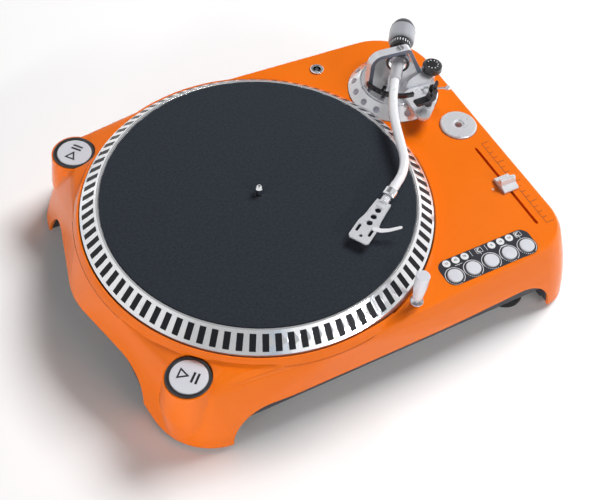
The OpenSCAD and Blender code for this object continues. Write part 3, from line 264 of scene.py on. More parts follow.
def from_bmesh(work, name, place=None):
    """The worked mesh as an object. With a place, the work is in mm and is moved there."""
    if place is not None:
        work.transform(place @ Matrix.Scale(0.001, 4))
    mesh = bpy.data.meshes.new(name)
    work.to_mesh(mesh)
    work.free()
    return placed(name, mesh)


def polar(radius, degrees):
    return (radius * math.cos(math.radians(degrees)), radius * math.sin(math.radians(degrees)))


def arc_points(cx, cy, r, a, b, n):
    """Points of an arc about a centre, in n steps from angle a to b in degrees."""
    arc = (polar(r, a + (b - a) * k / n) for k in range(n + 1))
    return [(cx + x, cy + y) for x, y in arc]


def bridge(work, rings):
    """Faces between neighbouring rings; a ring of one vertex is the tip of a fan."""
    for low, high in zip(rings, rings[1:]):
        steps = max(len(low), len(high))
        for k in range(steps):
            m = (k + 1) % steps
            corners = (low[k % len(low)], low[m % len(low)],
                       high[m % len(high)], high[k % len(high)])
            work.faces.new(tuple(dict.fromkeys(corners)))


def turned(name, profile, place, steps):
    """A turned piece from a profile [(radius, height)] in mm that starts and ends on the axis."""
    work = bmesh.new()
    rings = []
    for radius, height in profile:
        ring = [polar(radius, 360 * k / steps) for k in range(steps)] if radius else [(0, 0)]
        rings.append([work.verts.new((x, y, height)) for x, y in ring])
    bridge(work, rings)
    bmesh.ops.recalc_face_normals(work, faces=work.faces)
    return from_bmesh(work, name, place)


def joined(name, parts, body, replaced=(), sharp=35):
    """Several meshes made one piece that rides on one body."""
    bpy.ops.object.select_all(action="DESELECT")
    for part in parts:
        part.select_set(True)
    bpy.context.view_layer.objects.active = parts[0]
    if len(parts) > 1:
        bpy.ops.object.join()
    piece = parts[0]
    piece.name = name
    piece.data.name = name
    smooth(piece, sharp)
    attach(piece, body)
    if replaced:
        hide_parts(*replaced)
    return piece


foot_profile = [(0, 1.2), (13.5, 1.2), (13.8, 0.4), *arc_points(15.2, 1.6, 1.6, -110, -80, 2),
                (16.6, 0.2), *arc_points(17.2, 2.2, 1.8, -60, 0, 5), (19, 5.6), (18.4, 6.2),
                (18.4, 7), (19, 7.6), (18.8, 10), (16.2, 11.2), (16.0, 22.9), (0, 22.9)]
foot_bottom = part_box("rubber_feet")[0].z
foot_places = ((-126, -136), (205, -143), (-124, 136), (205, 149))
feet = []
for x, y in foot_places:
    place = Matrix.Translation((*deck(x, y, 0).xy, foot_bottom))
    feet.append(turned("foot", foot_profile, place, 72))
    feet[-1].data.materials.append(foot_rubber)
dressed("cover_screws", blackened, ease=0.25, angle=40)
joined("feet", feet, "housing", ("rubber_feet",))

# Platter and drive
# A die-cast aluminium platter with a turned and polished face. Its bevel carries ninety recessed
# black strobe dashes. It sits on a steel spindle in a brass bearing, over a flat coil motor.
to_axis = Matrix.Translation(AXIS)
aluminium, tree, shader = finish("turned aluminium", (0.84, 0.845, 0.86), 0.15, metal=0.75)
worn = use_group(tree, handled, Drift_scale=9.0, Base_roughness=0.15, Film=0.10)
tree.links.new(worn.outputs["Roughness"], shader.inputs["Roughness"])
tinted(tree, shader, worn.outputs["Tone"], (0.82, 0.83, 0.855), (0.88, 0.885, 0.90))
# The tool's fine rings, as a noise that changes only with the radius
centred = new_node(tree, "ShaderNodeMapping", {"Vector": object_place(tree), "Scale": (1, 1, 0),
                                               "Location": (-AXIS.x, -AXIS.y, 0)})
radius = new_node(tree, "ShaderNodeVectorMath", {0: centred.outputs["Vector"]}, operation="LENGTH")
turning = new_node(tree, "ShaderNodeTexNoise", {"W": radius.outputs["Value"], "Scale": 3500,
                                                "Detail": 3}, noise_dimensions="1D")
bumped(tree, shader, turning.outputs["Fac"], 0.35, 0.00003)
dressed("platter", aluminium, angle=20, flat=0.0)

dash_black = plain_finish("strobe black", (0.006, 0.007, 0.009), (0.010, 0.011, 0.014), 0.36,
                          grain_scale=2500.0, depth=0.00001, strength=0.3, specular=0.2)


def flat_plate(name, outline, thick, bevel=0.0):
    """A thin plate from an outline in mm, standing on z = 0, with its upper edge eased."""
    work = bmesh.new()
    face = work.faces.new([work.verts.new((x, y, thick)) for x, y in outline])
    face.normal_update()
    if face.normal.z < 0:
        face.normal_flip()
    bottom = bmesh.ops.extrude_face_region(work, geom=[face])["geom"]
    bmesh.ops.translate(work, verts=[v for v in bottom if isinstance(v, bmesh.types.BMVert)],
                        vec=(0, 0, -thick))
    bmesh.ops.recalc_face_normals(work, faces=work.faces)
    if bevel:
        top = [e for e in work.edges if all(v.co.z > thick - 1e-6 for v in e.verts)]
        bmesh.ops.bevel(work, geom=top, offset=bevel, segments=2, affect="EDGES", profile=0.5)
    return from_bmesh(work, name, Matrix())


def rounded_outline(l, w, r, n):
    """A rounded rectangle's outline about the origin, in mm."""
    corners = ((l / 2 - r, w / 2 - r, 0), (r - l / 2, w / 2 - r, 90),
               (r - l / 2, r - w / 2, 180), (l / 2 - r, r - w / 2, 270))
    return [p for cx, cy, a in corners for p in arc_points(cx, cy, r, a, a + 90, n)]


# Copies of one small mesh round an axis, each turned with its place
round_tree, start, end = new_group(
    "GeometryNodeTree", "repeat round an axis",
    {"Geometry": ("Geometry", None), "Piece": ("Object", None), "Count": ("Int", 8),
     "Radius": ("Float", 0.01), "First angle": ("Float", 0.0), "Step angle": ("Float", 0.1),
     "Finish": ("Material", None)}, {"Geometry": "Geometry"})
index = new_node(round_tree, "GeometryNodeInputIndex").outputs[0]
turn = math_node(round_tree, "MULTIPLY", index, start.outputs["Step angle"])
turn = math_node(round_tree, "ADD", turn, start.outputs["First angle"])
spot = new_node(round_tree, "ShaderNodeCombineXYZ", {
    axis: math_node(round_tree, "MULTIPLY", math_node(round_tree, operation, turn),
                    start.outputs["Radius"])
    for axis, operation in enumerate(("COSINE", "SINE"))})
line = new_node(round_tree, "GeometryNodeMeshLine", {"Count": start.outputs["Count"]})
spread = new_node(round_tree, "GeometryNodeSetPosition",
                  {"Geometry": line.outputs["Mesh"], "Position": spot.outputs[0]})
facing = new_node(round_tree, "ShaderNodeCombineXYZ", {2: turn})
facing = new_node(round_tree, "FunctionNodeEulerToRotation", {0: facing.outputs[0]})


def fill_points(tree, start, end, points, **fields):
    """Ends a repeating tree: its piece on each point, with its fields, made real and painted."""
    source = new_node(tree, "GeometryNodeObjectInfo", {"Object": start.outputs["Piece"]})
    copies = new_node(tree, "GeometryNodeInstanceOnPoints",
                      {"Points": points, "Instance": source.outputs["Geometry"], **fields})
    real = new_node(tree, "GeometryNodeRealizeInstances", {"Geometry": copies.outputs["Instances"]})
    paint = new_node(tree, "GeometryNodeSetMaterial", {"Geometry": real.outputs["Geometry"],
                                                       "Material": start.outputs["Finish"]})
    tree.links.new(paint.outputs["Geometry"], end.inputs["Geometry"])


fill_points(round_tree, start, end, spread.outputs["Geometry"], Rotation=facing.outputs[0])


def evaluated(piece):
    return piece.evaluated_get(bpy.context.evaluated_depsgraph_get())


def repeated(name, tree, place, piece, material, **values):
    """The tree's copies of a small mesh as one plain mesh, moved to its place."""
    holder = placed(name, bpy.data.meshes.new(name))
    live = holder.modifiers.new("repeat", "NODES")
    live.node_group = tree
    sockets = {s.name: s.identifier for s in tree.interface.items_tree if s.in_out == "INPUT"}
    live[sockets["Piece"]] = piece
    live[sockets["Finish"]] = material
    for label, value in values.items():
        live[sockets[label]] = value
    bpy.context.view_layer.update()
    made = bpy.data.meshes.new_from_object(evaluated(holder))
    holder.modifiers.clear()
    made.name = name
    made.transform(place)
    holder.data = made
    small = piece.data
    bpy.data.objects.remove(piece)
    bpy.data.meshes.remove(small)
    return holder


def repeated_round(name, place, piece, material, count, radius, step, first):
    """Copies round the place's z, from the first angle on, in mm and degrees."""
    return repeated(name, round_tree, place, piece, material, **{
        "Count": count, "Radius": radius / 1000, "First angle": math.radians(first),
        "Step angle": math.radians(step)})


# One dash fills its pocket in the bevel, which runs 16 mm outwards and drops 14 mm
bevel_start, bevel_run, bevel_drop = 150, 16, 14
dash_l, dash_w, dash_t, sunk = 15.4, 5.8, 0.4, 0.36
dash = flat_plate("dash", rounded_outline(dash_l, dash_w, 0.5, 3), dash_t, 0.05)
dash.data.transform(Matrix.Translation(Vector((bevel_run, 0, -bevel_drop)) / 2000)
                    @ Matrix.Rotation(math.atan2(bevel_drop, bevel_run), 4, "Y")
                    @ Matrix.Translation((0, 0, -sunk / 1000)))
dashes = repeated_round("strobe_dashes", to_axis, dash, dash_black,
                        count=90, radius=bevel_start, step=4, first=2)
joined("strobe_dashes", [dashes], "platter", ("strobe_marks",), 40)

# The housing's raised lip hugs the platter's edge, and runs out at the lamp and the arm's base.
# Its profile gives each point's radius, and its height where the lip has run out and in full.
lip_profile = ((167.2, -21.5, -21.5), (167.2, -20.6, -15.9), (167.7, -20.2, -15.3),
               (168.6, -20.2, -15.1), (171.5, -20.3, -19.4), (171.5, -21.5, -21.5))
run_out = 12
work = bmesh.new()
for lip_from, lip_to in ((44, 289), (305, 366)):
    rings = []
    for degree in range(lip_from, lip_to + 1):
        rise = min(1, (degree - lip_from) / run_out, (lip_to - degree) / run_out)
        rise = rise * rise * (3 - 2 * rise)
        rings.append([work.verts.new((*polar(r, degree), low + (high - low) * rise))
                      for r, low, high in lip_profile])
    bridge(work, rings)
    work.faces.new(rings[0])
    work.faces.new(rings[-1])
bmesh.ops.recalc_face_normals(work, faces=work.faces)
lip = from_bmesh(work, "well_lip", to_axis)
lip.data.materials.append(lacquer)
joined("well_lip", [lip], "housing", sharp=60)

steel = plain_finish("polished steel", (0.80, 0.81, 0.83), (0.86, 0.865, 0.88), 0.10, film=0.10,
                     grain_scale=3000.0, depth=0.00001, strength=0.3, metal=1.0)
dressed("spindle", steel)
brass = plain_finish("bearing brass", (0.62, 0.43, 0.16), (0.70, 0.50, 0.21), 0.28, film=0.2,
                     grain_scale=2500.0, depth=0.00003, metal=1.0)
dressed("spindle_bearing", brass, ease=0.3)
ferrite = plain_finish("ferrite", (0.055, 0.055, 0.06), (0.085, 0.083, 0.085), 0.55, film=0.2,
                       grain_scale=2200.0, depth=0.0001)
dressed("rotor_magnet", ferrite, ease=0.4)
green = plain_finish("solder mask", (0.010, 0.075, 0.030), (0.014, 0.095, 0.038), 0.3, film=0.1,
                     grain_scale=1500.0, depth=0.00003, coat=0.4)
dressed("motor_stator", green, ease=0.2)

# Slipmat
# A loose disc of needled wool felt, 2 mm thick, cut from sheet with a hole for the spindle. It
# lies on the platter, slightly uneven, and the record turns with it or slips on it.
felt, tree, shader = finish("slipmat felt", (0.020, 0.024, 0.031), 0.95, sheen=0.25, specular=0.15)
shader.inputs["Sheen Roughness"].default_value = 0.45
shader.inputs["Sheen Tint"].default_value = (0.75, 0.80, 0.90, 1)
place = object_place(tree)
fibre = math_node(tree, "MULTIPLY", noise(tree, place, 2600, 4, 0.7), 0.5)
clump = math_node(tree, "MULTIPLY", noise(tree, place, 420, 3, 0.6), 0.5)
cloud = math_node(tree, "MULTIPLY", noise(tree, place, 22, 2), 0.4)
mixed = math_node(tree, "ADD", fibre, clump)
tinted(tree, shader, mixed, (0.0135, 0.0165, 0.0225), (0.034, 0.040, 0.051))
bumped(tree, shader, math_node(tree, "ADD", mixed, cloud), 0.8, 0.00045)

mat_r, hole_r, underside = 147.4, 3.9, -1.93
spokes, hoops = 288, 44
profile = [(hole_r, underside), (hole_r, -0.5)]
profile += [(hole_r + 0.5 + (mat_r - 1.1 - hole_r) * k / hoops, -0.12) for k in range(hoops + 1)]
profile += [(mat_r - 0.25, -0.28), (mat_r, -0.7), (mat_r, -1.5), (mat_r - 0.3, underside)]
work = bmesh.new()
rings = []
for r, z in profile:
    on_top, at_edge = z > -0.3, r > mat_r - 0.4
    ring = []
    for k in range(spokes):
        a = 2 * math.pi * k / spokes
        wave = 0.05 * math.sin(5 * a + r * 0.05) + 0.04 * math.sin(11 * a - r * 0.11)
        fray = 0.12 * math.sin(37 * a) + 0.08 * math.sin(83 * a + 1) - 0.1
        edge = r + fray * at_edge
        ring.append(work.verts.new((edge * math.cos(a), edge * math.sin(a),
                                    z + min(0.1, wave * on_top))))
    rings.append(ring)
bridge(work, rings + rings[:1])
bmesh.ops.recalc_face_normals(work, faces=work.faces)
mat = from_bmesh(work, "slipmat_felt", to_axis)
mat.data.materials.append(felt)
joined("slipmat_felt", [mat], "slipmat", ("slipmat",), 50)

# Start controls
# Two round push switches in the left corners: pearl-white moulded caps, each printed with a
# triangle and two bars, in black bezels that snap into the housing.
pearl = plain_finish("pearl white plastic", (0.63, 0.64, 0.69), (0.69, 0.70, 0.75), 0.26,
                     grain_scale=1600.0, depth=0.00002, strength=0.4, coat=0.7, coat_rough=0.04)
gloss_black = plain_finish("gloss black plastic", (0.012, 0.012, 0.014), (0.018, 0.018, 0.021),
                           0.24, film=0.10, grain_scale=1500.0, depth=0.00002, strength=0.4,
                           coat=0.5)
ink = plain_finish("dark print", (0.012, 0.012, 0.015), (0.018, 0.018, 0.022), 0.45, film=0.1,
                   grain_scale=2500.0, depth=0.00001)


def middle_of(node):
    """The middle of a node's box on the deck, in mm from the platter's axis."""
    low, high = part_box(node)
    return ((low.x + high.x) / 2 - AXIS.x) * 1000, ((low.y + high.y) / 2 - AXIS.y) * 1000


def on_surface(x, y, piece, lift=0.02):
    """The place just above a piece at (x, y) on the deck, in mm, or None beside the piece."""
    hit, spot, normal, face = evaluated(piece).ray_cast(deck(x, y, 80), (0, 0, -1))
    if hit:
        return Vector((AXIS.x + x / 1000, AXIS.y + y / 1000, spot.z + lift / 1000))


def inked(piece):
    """Gives a flat print the thickness of its ink."""
    layer = piece.modifiers.new("ink film", "SOLIDIFY")
    layer.thickness = 0.00003
    layer.offset = 1


def printed(name, shapes, carrier, body, material, cuts=0):
    """Thin print laid on a piece. Each shape is [outline] or [outline, inner outline], in mm."""
    work = bmesh.new()
    for shape in shapes:
        outer, *inner = ([work.verts.new((x, y, 0)) for x, y in outline] for outline in shape)
        if inner:
            bridge(work, [outer, inner[0]])
        else:
            work.faces.new(outer)
    if cuts:
        bmesh.ops.triangulate(work, faces=[face for face in work.faces if len(face.verts) > 4])
        bmesh.ops.subdivide_edges(work, edges=work.edges, cuts=cuts, use_grid_fill=True)
    for face in work.faces:
        face.normal_update()
        if face.normal.z < 0:
            face.normal_flip()
    bpy.context.view_layer.update()
    missed = []
    for vert in work.verts:
        spot = on_surface(vert.co.x, vert.co.y, carrier)
        if spot is None:
            missed.append(vert)
        else:
            vert.co = spot
    bmesh.ops.delete(work, geom=missed, context="VERTS")
    made = from_bmesh(work, name)
    made.data.materials.append(material)
    inked(made)
    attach(made, body)


def inset(outline, d):
    """A convex outline moved inwards by d."""
    made = []
    for k, point in enumerate(outline):
        a, b, c = Vector(outline[k - 1]), Vector(point), Vector(outline[(k + 1) % len(outline)])
        u, v = (b - a).normalized(), (c - b).normalized()
        across = Vector((-u.y, u.x))
        inwards = (across + Vector((-v.y, v.x))).normalized() * (1 if u.cross(v) > 0 else -1)
        made.append(tuple(b + inwards * d / max(0.3, abs(inwards.dot(across)))))
    return made


def bar(x0, y0, x1, y1):
    return [(x0, y0), (x1, y0), (x1, y1), (x0, y1)]


def spun(outline, degrees, x, y):
    """The outline turned about the origin and then moved to a place."""
    turn = Matrix.Rotation(math.radians(degrees), 2)
    return [tuple(turn @ Vector(p) + Vector((x, y))) for p in outline]


start_marks = (((-9.4, 5.6), (-9.4, -5.6), (0.8, 0)),
               bar(3.0, -5.2, 5.1, 5.2), bar(6.9, -5.2, 9.0, 5.2))
for name, facing in (("front_start", -46), ("rear_start", 40)):
    dressed(name + "_bezel", gloss_black, ease=0.3, angle=35)
    cap = dressed(name + "_cap", pearl, ease=0.35, angle=25)
    arrow, *bars = (spun(mark, facing, *middle_of(name + "_cap")) for mark in start_marks)
    printed(name + "_marks", [[arrow, inset(arrow, 1.5)], *([mark] for mark in bars)], cap,
            name + "_cap", ink, cuts=6)

# Control panel
# A satin dark-grey plate with five domed push keys and six small lenses that glow white. Each
# key stands in a printed ring, and thin printed lines join keys and lenses.
panel_grey = plain_finish("panel grey", (0.026, 0.027, 0.034), (0.034, 0.035, 0.043), 0.42,
                          film=0.12, grain_scale=1700.0, depth=0.00005, specular=0.3)
panel = dressed("control_panel", panel_grey, ease=0.3, angle=35)
white_ink = plain_finish("white print", (0.78, 0.79, 0.82), (0.84, 0.85, 0.87), 0.45, film=0.1,
                         grain_scale=2500.0, depth=0.00001)
glowing = plain_finish("lens white", (0.80, 0.80, 0.83), (0.86, 0.86, 0.88), 0.18, film=0.06,
                       depth=0.00001, coat=1.0)
lenses = dressed("indicator_lenses", glowing, ease=0.25, angle=35)


def band(x, y, outer, inner, a, b, n):
    """The outline of an arc with a width, in n steps from angle a to b in degrees."""
    return arc_points(x, y, outer, a, b, n) + arc_points(x, y, inner, b, a, n)


panel_x, panel_y = middle_of("control_panel")
key_y, key_pitch = panel_y - 4.9, 20.1
lens_y, lens_pitch = panel_y + 10.1, 10.05
ring_r, ring_w, stroke = 9.5, 0.55, 0.4
lines = []
# Each key's ring is a solid arc, closed by dots
for k in range(-2, 3):
    x = panel_x + key_pitch * k
    dressed("panel_key_%d" % (k + 3), pearl, ease=0.4, angle=25)
    lines += [band(x, key_y, ring_r, ring_r - ring_w, a, a + 6, 1) for a in range(-64, 200, 6)]
    lines += [spun(bar(ring_r - 0.6, -stroke, ring_r, stroke), a, x, key_y)
              for a in range(208, 290, 12)]
# Upright lines between the lenses, and brackets from two of them down to their keys
for k in (-4.75, -1.3, 0.35, 3.72):
    x = panel_x + lens_pitch * k
    lines.append(bar(x, lens_y - 3.2, x + stroke, lens_y + 3.2))
for k in (-3, 2):
    x = panel_x + lens_pitch * k
    lines.append(bar(x - 4, lens_y - 5.6, x + 4, lens_y - 5.2))
    lines.append(bar(x - stroke / 2, lens_y - 6.6, x + stroke / 2, lens_y - 5.6))
# Two framed marks of an open ring, each with a line down to its key
lines = [[line] for line in lines]
for x in (panel_x - 4.1, panel_x + 40.0):
    mark_y = lens_y + 0.2
    mark_frame = [(x + a, mark_y + b) for a, b in rounded_outline(7.0, 6.0, 0.8, 2)]
    lines += [[mark_frame, inset(mark_frame, stroke)], [band(x, mark_y, 2.1, 1.2, 50, 310, 13)],
              [bar(x - stroke / 2, lens_y - 4.6, x + stroke / 2, lens_y - 3.0)]]
printed("panel_print", lines, panel, "housing", white_ink)

digits = []
for k, words in zip((-4, -3, -2, 1, 2, 3), ("33", "45", "78", "8", "16", "50")):
    curve = bpy.data.curves.new("digits", "FONT")
    curve.body = words
    curve.size = 3.4
    curve.resolution_u = 2
    curve.align_x = curve.align_y = "CENTER"
    curve.offset = 0.03
    text = placed("digits", curve)
    bpy.context.view_layer.update()
    mesh = bpy.data.meshes.new_from_object(evaluated(text))
    spot = on_surface(panel_x + lens_pitch * k, lens_y, lenses, lift=0.03)
    mesh.transform(Matrix.Translation(spot) @ Matrix.Scale(0.001, 4))
    bpy.data.objects.remove(text)
    bpy.data.curves.remove(curve)
    mesh.materials.clear()
    mesh.materials.append(ink)
    digits.append(placed("digits", mesh))
inked(joined("lens_digits", digits, "housing"))

# Pitch fader
# A bright knob of cast metal on a stem that slides in a 107 mm slot, over a closed track unit
# below the deck. A scale of plain ticks is printed beside the slot.
satin = plain_finish("satin metal", (0.74, 0.75, 0.79), (0.80, 0.81, 0.84), 0.28, film=0.12,
                     grain_scale=2600.0, depth=0.00003, metal=0.4)
bright = plain_finish("bright plated metal", (0.78, 0.79, 0.82), (0.86, 0.87, 0.89), 0.08,
                      film=0.07, grain_scale=2600.0, depth=0.000008, strength=0.3, metal=1.0)
maroon = plain_finish("maroon print", (0.22, 0.020, 0.008), (0.26, 0.028, 0.010), 0.4, film=0.1,
                      grain_scale=2500.0, depth=0.00001, coat=0.5)
dressed("fader_unit", dark_skin, ease=0.2)
dressed("fader_knob", satin, ease=0.35, angle=35)

# Copies of one small mesh along a straight line, with every so many stretched across it
row_tree, start, end = new_group(
    "GeometryNodeTree", "repeat along a line",
    {"Geometry": ("Geometry", None), "Piece": ("Object", None), "Count": ("Int", 8),
     "Step": ("Vector", (0, 0.01, 0)), "Every": ("Int", 5), "Stretch": ("Float", 1.6),
     "Finish": ("Material", None)}, {"Geometry": "Geometry"})
line = new_node(row_tree, "GeometryNodeMeshLine",
                {"Count": start.outputs["Count"], "Offset": start.outputs["Step"]})
index = new_node(row_tree, "GeometryNodeInputIndex").outputs[0]
long_one = math_node(row_tree, "MODULO", index, start.outputs["Every"])
long_one = math_node(row_tree, "LESS_THAN", long_one, 0.5)
gain = math_node(row_tree, "SUBTRACT", start.outputs["Stretch"], 1.0)
gain = math_node(row_tree, "ADD", math_node(row_tree, "MULTIPLY", long_one, gain), 1.0)
size = new_node(row_tree, "ShaderNodeCombineXYZ", {0: gain, 1: 1, 2: 1})
fill_points(row_tree, start, end, line.outputs["Mesh"], Scale=size.outputs[0])

scale_x, scale_y, steps, tick_step, tick_l, half_w, thick = 241.6, -133.0, 16, 7, 5.0, 0.3, 0.03
beside_slot = (246, -77)
scale_foot = deck(scale_x, scale_y, 0)
scale_foot.z = on_surface(*beside_slot, housing).z
tick = flat_plate("tick", bar(0, -half_w, tick_l, half_w), thick)
ticks = repeated("pitch_ticks", row_tree, Matrix.Translation(scale_foot), tick, maroon,
                 Count=steps + 1, Step=(0.0, tick_step / 1000, 0.0), Every=4, Stretch=1.7)
spine = flat_plate("spine", bar(-half_w, -half_w, half_w, tick_step * steps + half_w), thick)
spine.data.transform(Matrix.Translation(scale_foot))
spine.data.materials.append(maroon)
joined("pitch_scale", [ticks, spine], "housing")

# Target lamp
# A pearl-white lamp cylinder on a thin stem, with a small window towards the platter. It is
# pushed down into a bright plated socket when it isn't used.
dressed("lamp_socket", bright, ease=0.2, angle=35)
dressed("target_lamp", pearl, ease=0.3, angle=35)

# Record adaptor and headshell socket
# A loose turned aluminium adaptor for records with a large hole lies in a shallow dish in the
# deck. Behind it a plated tube in the deck holds a spare headshell by its plug.
dressed("record_adaptor", satin, ease=0.25)
dressed("headshell_socket", bright, ease=0.2)

# Tonearm base
# A plated conical ring turns on a thread to set the arm's height, with round dimples for the
# fingers. The platform stands on it and carries the yoke, the bracket and the rest.
joints = {joint["name"]: joint for joint in frame["record"]["behaviour"]["joints"]}


def along(joint, offset):
    """The place of a joint's axis, with z along it, moved on by the offset in mm."""
    axis = Vector(joints[joint]["axis"]).normalized()
    return (Matrix.Translation(Vector(joints[joint]["pos_m"]) + axis * offset / 1000)
            @ axis.to_track_quat("Z", "Y").to_matrix().to_4x4())


def recoloured(piece, material, chosen):
    """The material on those faces of the piece that the test chooses by centre and normal."""
    piece.data.materials.append(material)
    for face in piece.data.polygons:
        if chosen(face.center, face.normal):
            face.material_index = len(piece.data.materials) - 1


plated = plain_finish("plated casting", (0.78, 0.79, 0.82), (0.84, 0.85, 0.88), 0.12,
                      grain_scale=2400.0, depth=0.00001, strength=0.3, metal=0.6)
# Painted shade: a darker tone for the yoke's faces that turn to the front and down, standing in for
# the shade that falls there
yoke_painted_shade = plain_finish("casting painted shade", (0.15, 0.17, 0.22), (0.19, 0.21, 0.26), 0.3,
                      film=0.12, grain_scale=2400.0, depth=0.00002, metal=0.5)
# Painted shade: a darker, bluish grey for the ring's dimples, standing in for the shade in their
# hollows
dimple_painted_shade = plain_finish("dimple painted shade", (0.42, 0.42, 0.50), (0.48, 0.48, 0.55), 0.35, film=0.1,
                     grain_scale=2400.0, depth=0.00002, metal=0.4)
dressed("arm_base", dark_skin, ease=0.3)
dressed("height_ring", plated, ease=0.25, angle=28)
# A dimple is a shallow dish with a raised rim, laid on the ring's 45 degree cone; its darker colour
# is painted shade in the hollow
dimple_profile = [(0, -0.34), (1.4, -0.27), (2.4, -0.08), (2.9, 0.06), (3.3, 0.08),
                  (3.4, -0.06), (2.2, -0.36), (0, -0.55)]
cone_r, cone_z = 42.22, -14.28
on_cone = (Matrix.Translation((0, 0, cone_z / 1000))
           @ Matrix.Rotation(math.radians(45), 4, "Y"))
pivot = Vector(joints["arm_swing"]["pos_m"])
dimples = repeated_round("ring_dimples", Matrix.Translation((pivot.x, pivot.y, AXIS.z)),
                         turned("dimple", dimple_profile, on_cone, 32), dimple_painted_shade,
                         count=16, radius=cone_r, step=22.5, first=11.25)
joined("ring_dimples", [dimples], "height_ring")
dressed("arm_platform", plated, ease=0.25)
yoke = dressed("pivot_yoke", satin, ease=0.5, angle=40)
# The yoke's faces turned to the front and down are painted darker, as painted shade
recoloured(yoke, yoke_painted_shade, lambda centre, normal: normal.y < -0.75 or normal.z < -0.75)
dressed("pivot_screw", bright, ease=0.15, angle=35)
gimbal = dressed("gimbal_ring", bright, ease=0.2, angle=35)
arm_way = Vector(joints["arm_dip"]["axis"]).cross(Vector((0, 0, -1)))
recoloured(gimbal, gloss_black, lambda centre, normal: abs(normal.dot(arm_way)) > 0.6)
dressed("arm_bracket", satin, ease=0.4, angle=40)

# Tonearm
# An S-shaped tube with a pearl silver finish is pressed into a cast hub. A slotted headshell
# plugs into its front end and is held by a knurled collar.
pearl_silver = plain_finish("pearl silver paint", (0.86, 0.86, 0.89), (0.90, 0.90, 0.93), 0.28,
                            grain_scale=2600.0, depth=0.00002, metal=0.15, coat=0.6)
hub_grey = plain_finish("pearl grey paint", (0.47, 0.47, 0.50), (0.53, 0.53, 0.56), 0.32,
                        film=0.1, grain_scale=2400.0, depth=0.00003, metal=0.25, coat=0.5)
dressed("arm_hub", hub_grey, ease=0.2)
dressed("arm_tube", pearl_silver, angle=35)
dressed("locking_collar", bright, ease=0.15)
dressed("headshell", satin, ease=0.25, angle=35)
dressed("finger_lift", pearl_silver, ease=0.15, angle=50)

# Counterweight
# A heavy satin-grey barrel on a black sleeve slides and turns on the rear shaft. The black dial
# with white ticks in front of it turns by itself, and a dark cap closes the back.
weight_paint = plain_finish("weight grey", (0.40, 0.41, 0.45), (0.46, 0.47, 0.51), 0.34,
                            film=0.12, grain_scale=2200.0, metal=0.25, coat=0.3)
dressed("weight_shaft", steel, angle=35)
dressed("weight_sleeve", gloss_black, angle=35)
dressed("balance_dial", gloss_black, ease=0.12, angle=35)
# The dial's ticks stand 0.02 mm proud of its skin
dial_r, tick_from, tick_l, half_w, inside, proud = 10.8, 2.9, 3.5, 0.45, 0.3, 0.02
tick = flat_plate("dial_tick", bar(-inside, -half_w, proud, half_w), tick_l)
tick.data.transform(Matrix.Translation((0, 0, tick_from / 1000)))
ticks = repeated_round("dial_marks", along("dial_turn", -9), tick, white_ink,
                       count=24, radius=dial_r, step=15, first=7.5)
joined("dial_marks", [ticks], "balance_dial")
barrel = dressed("counterweight", weight_paint, ease=0.4, angle=25)
dressed("weight_cap", dark_skin, ease=0.3)
# The barrel's rear is black, from a plane across the shaft on
rear_from = 18.5
rear_plane = along("weight_turn", rear_from)
work = bmesh.new()
work.from_mesh(barrel.data)
bmesh.ops.bisect_plane(work, geom=work.verts[:] + work.edges[:] + work.faces[:], dist=1e-6,
                       plane_co=rear_plane.translation, plane_no=rear_plane.col[2].to_3d())
work.to_mesh(barrel.data)
work.free()
recoloured(barrel, dark_skin, lambda centre, normal: (rear_plane.inverted() @ centre).z > 0)
barrel.data.set_sharp_from_angle(angle=math.radians(25))

# Arm controls
# A ribbed black knob sets the side thrust, a plated rod with a small ball works the lifter, and
# the parked tube lies in a black hook under a swinging clamp.
dressed("antiskate_knob", gloss_black, ease=0.12, angle=35)
knob_low = joints["antiskate_turn"]["pos_m"][2]
knob_face = (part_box("antiskate_knob")[1].z - knob_low) * 1000 - 0.5
dot_r, dot_high, dot_low = 0.62, 0.04, -0.1
dot_profile = [(0, dot_high), (dot_r, dot_high), (dot_r, dot_low), (0, dot_low)]
dots = repeated_round("knob_dots", along("antiskate_turn", knob_face),
                      turned("dot", dot_profile, Matrix(), 20), white_ink,
                      count=9, radius=5.8, step=34, first=math.degrees(0.3))
joined("knob_dots", [dots], "antiskate_knob")
dressed("cue_lever", bright, ease=0.15, angle=35)
dressed("cue_lifter", gloss_black, ease=0.4, angle=35)
dressed("arm_rest", gloss_black, ease=0.5, angle=35)
dressed("rest_clamp", gloss_black, ease=0.35, angle=35)

# Inner parts
# A circuit board on four pillars and a potted transformer stand on the cover, inside the closed
# housing.
dressed("main_board", green, ease=0.1)
dressed("transformer", gloss_black, ease=0.4)

# Rear fittings
# A black moulded panel in the back wall carries plated line sockets, the mains inlet, a rocker
# switch, a data socket and a small slide switch.
gold = plain_finish("gold plating", (0.80, 0.58, 0.22), (0.86, 0.65, 0.28), 0.18, film=0.1,
                    grain_scale=2600.0, depth=0.00001, metal=1.0)
for node, material, slot, ease in (
        ("rear_panel", dark_skin, "black_plastic", 0.3),
        ("line_terminals", gold, "contact_gold", 0.15),
        ("mains_inlet", gloss_black, "black_plastic", 0.25),
        ("usb_socket", satin, "satin_metal", 0.12),
        ("power_switch", gloss_black, "black_plastic", 0.2),
        ("power_rocker", gloss_black, "black_plastic", 0.2),
        ("line_switch", dark_skin, "black_plastic", 0.15),
        ("line_slider", gloss_black, "black_plastic", 0.1)):
    dressed(node, material, ease, angle=35)

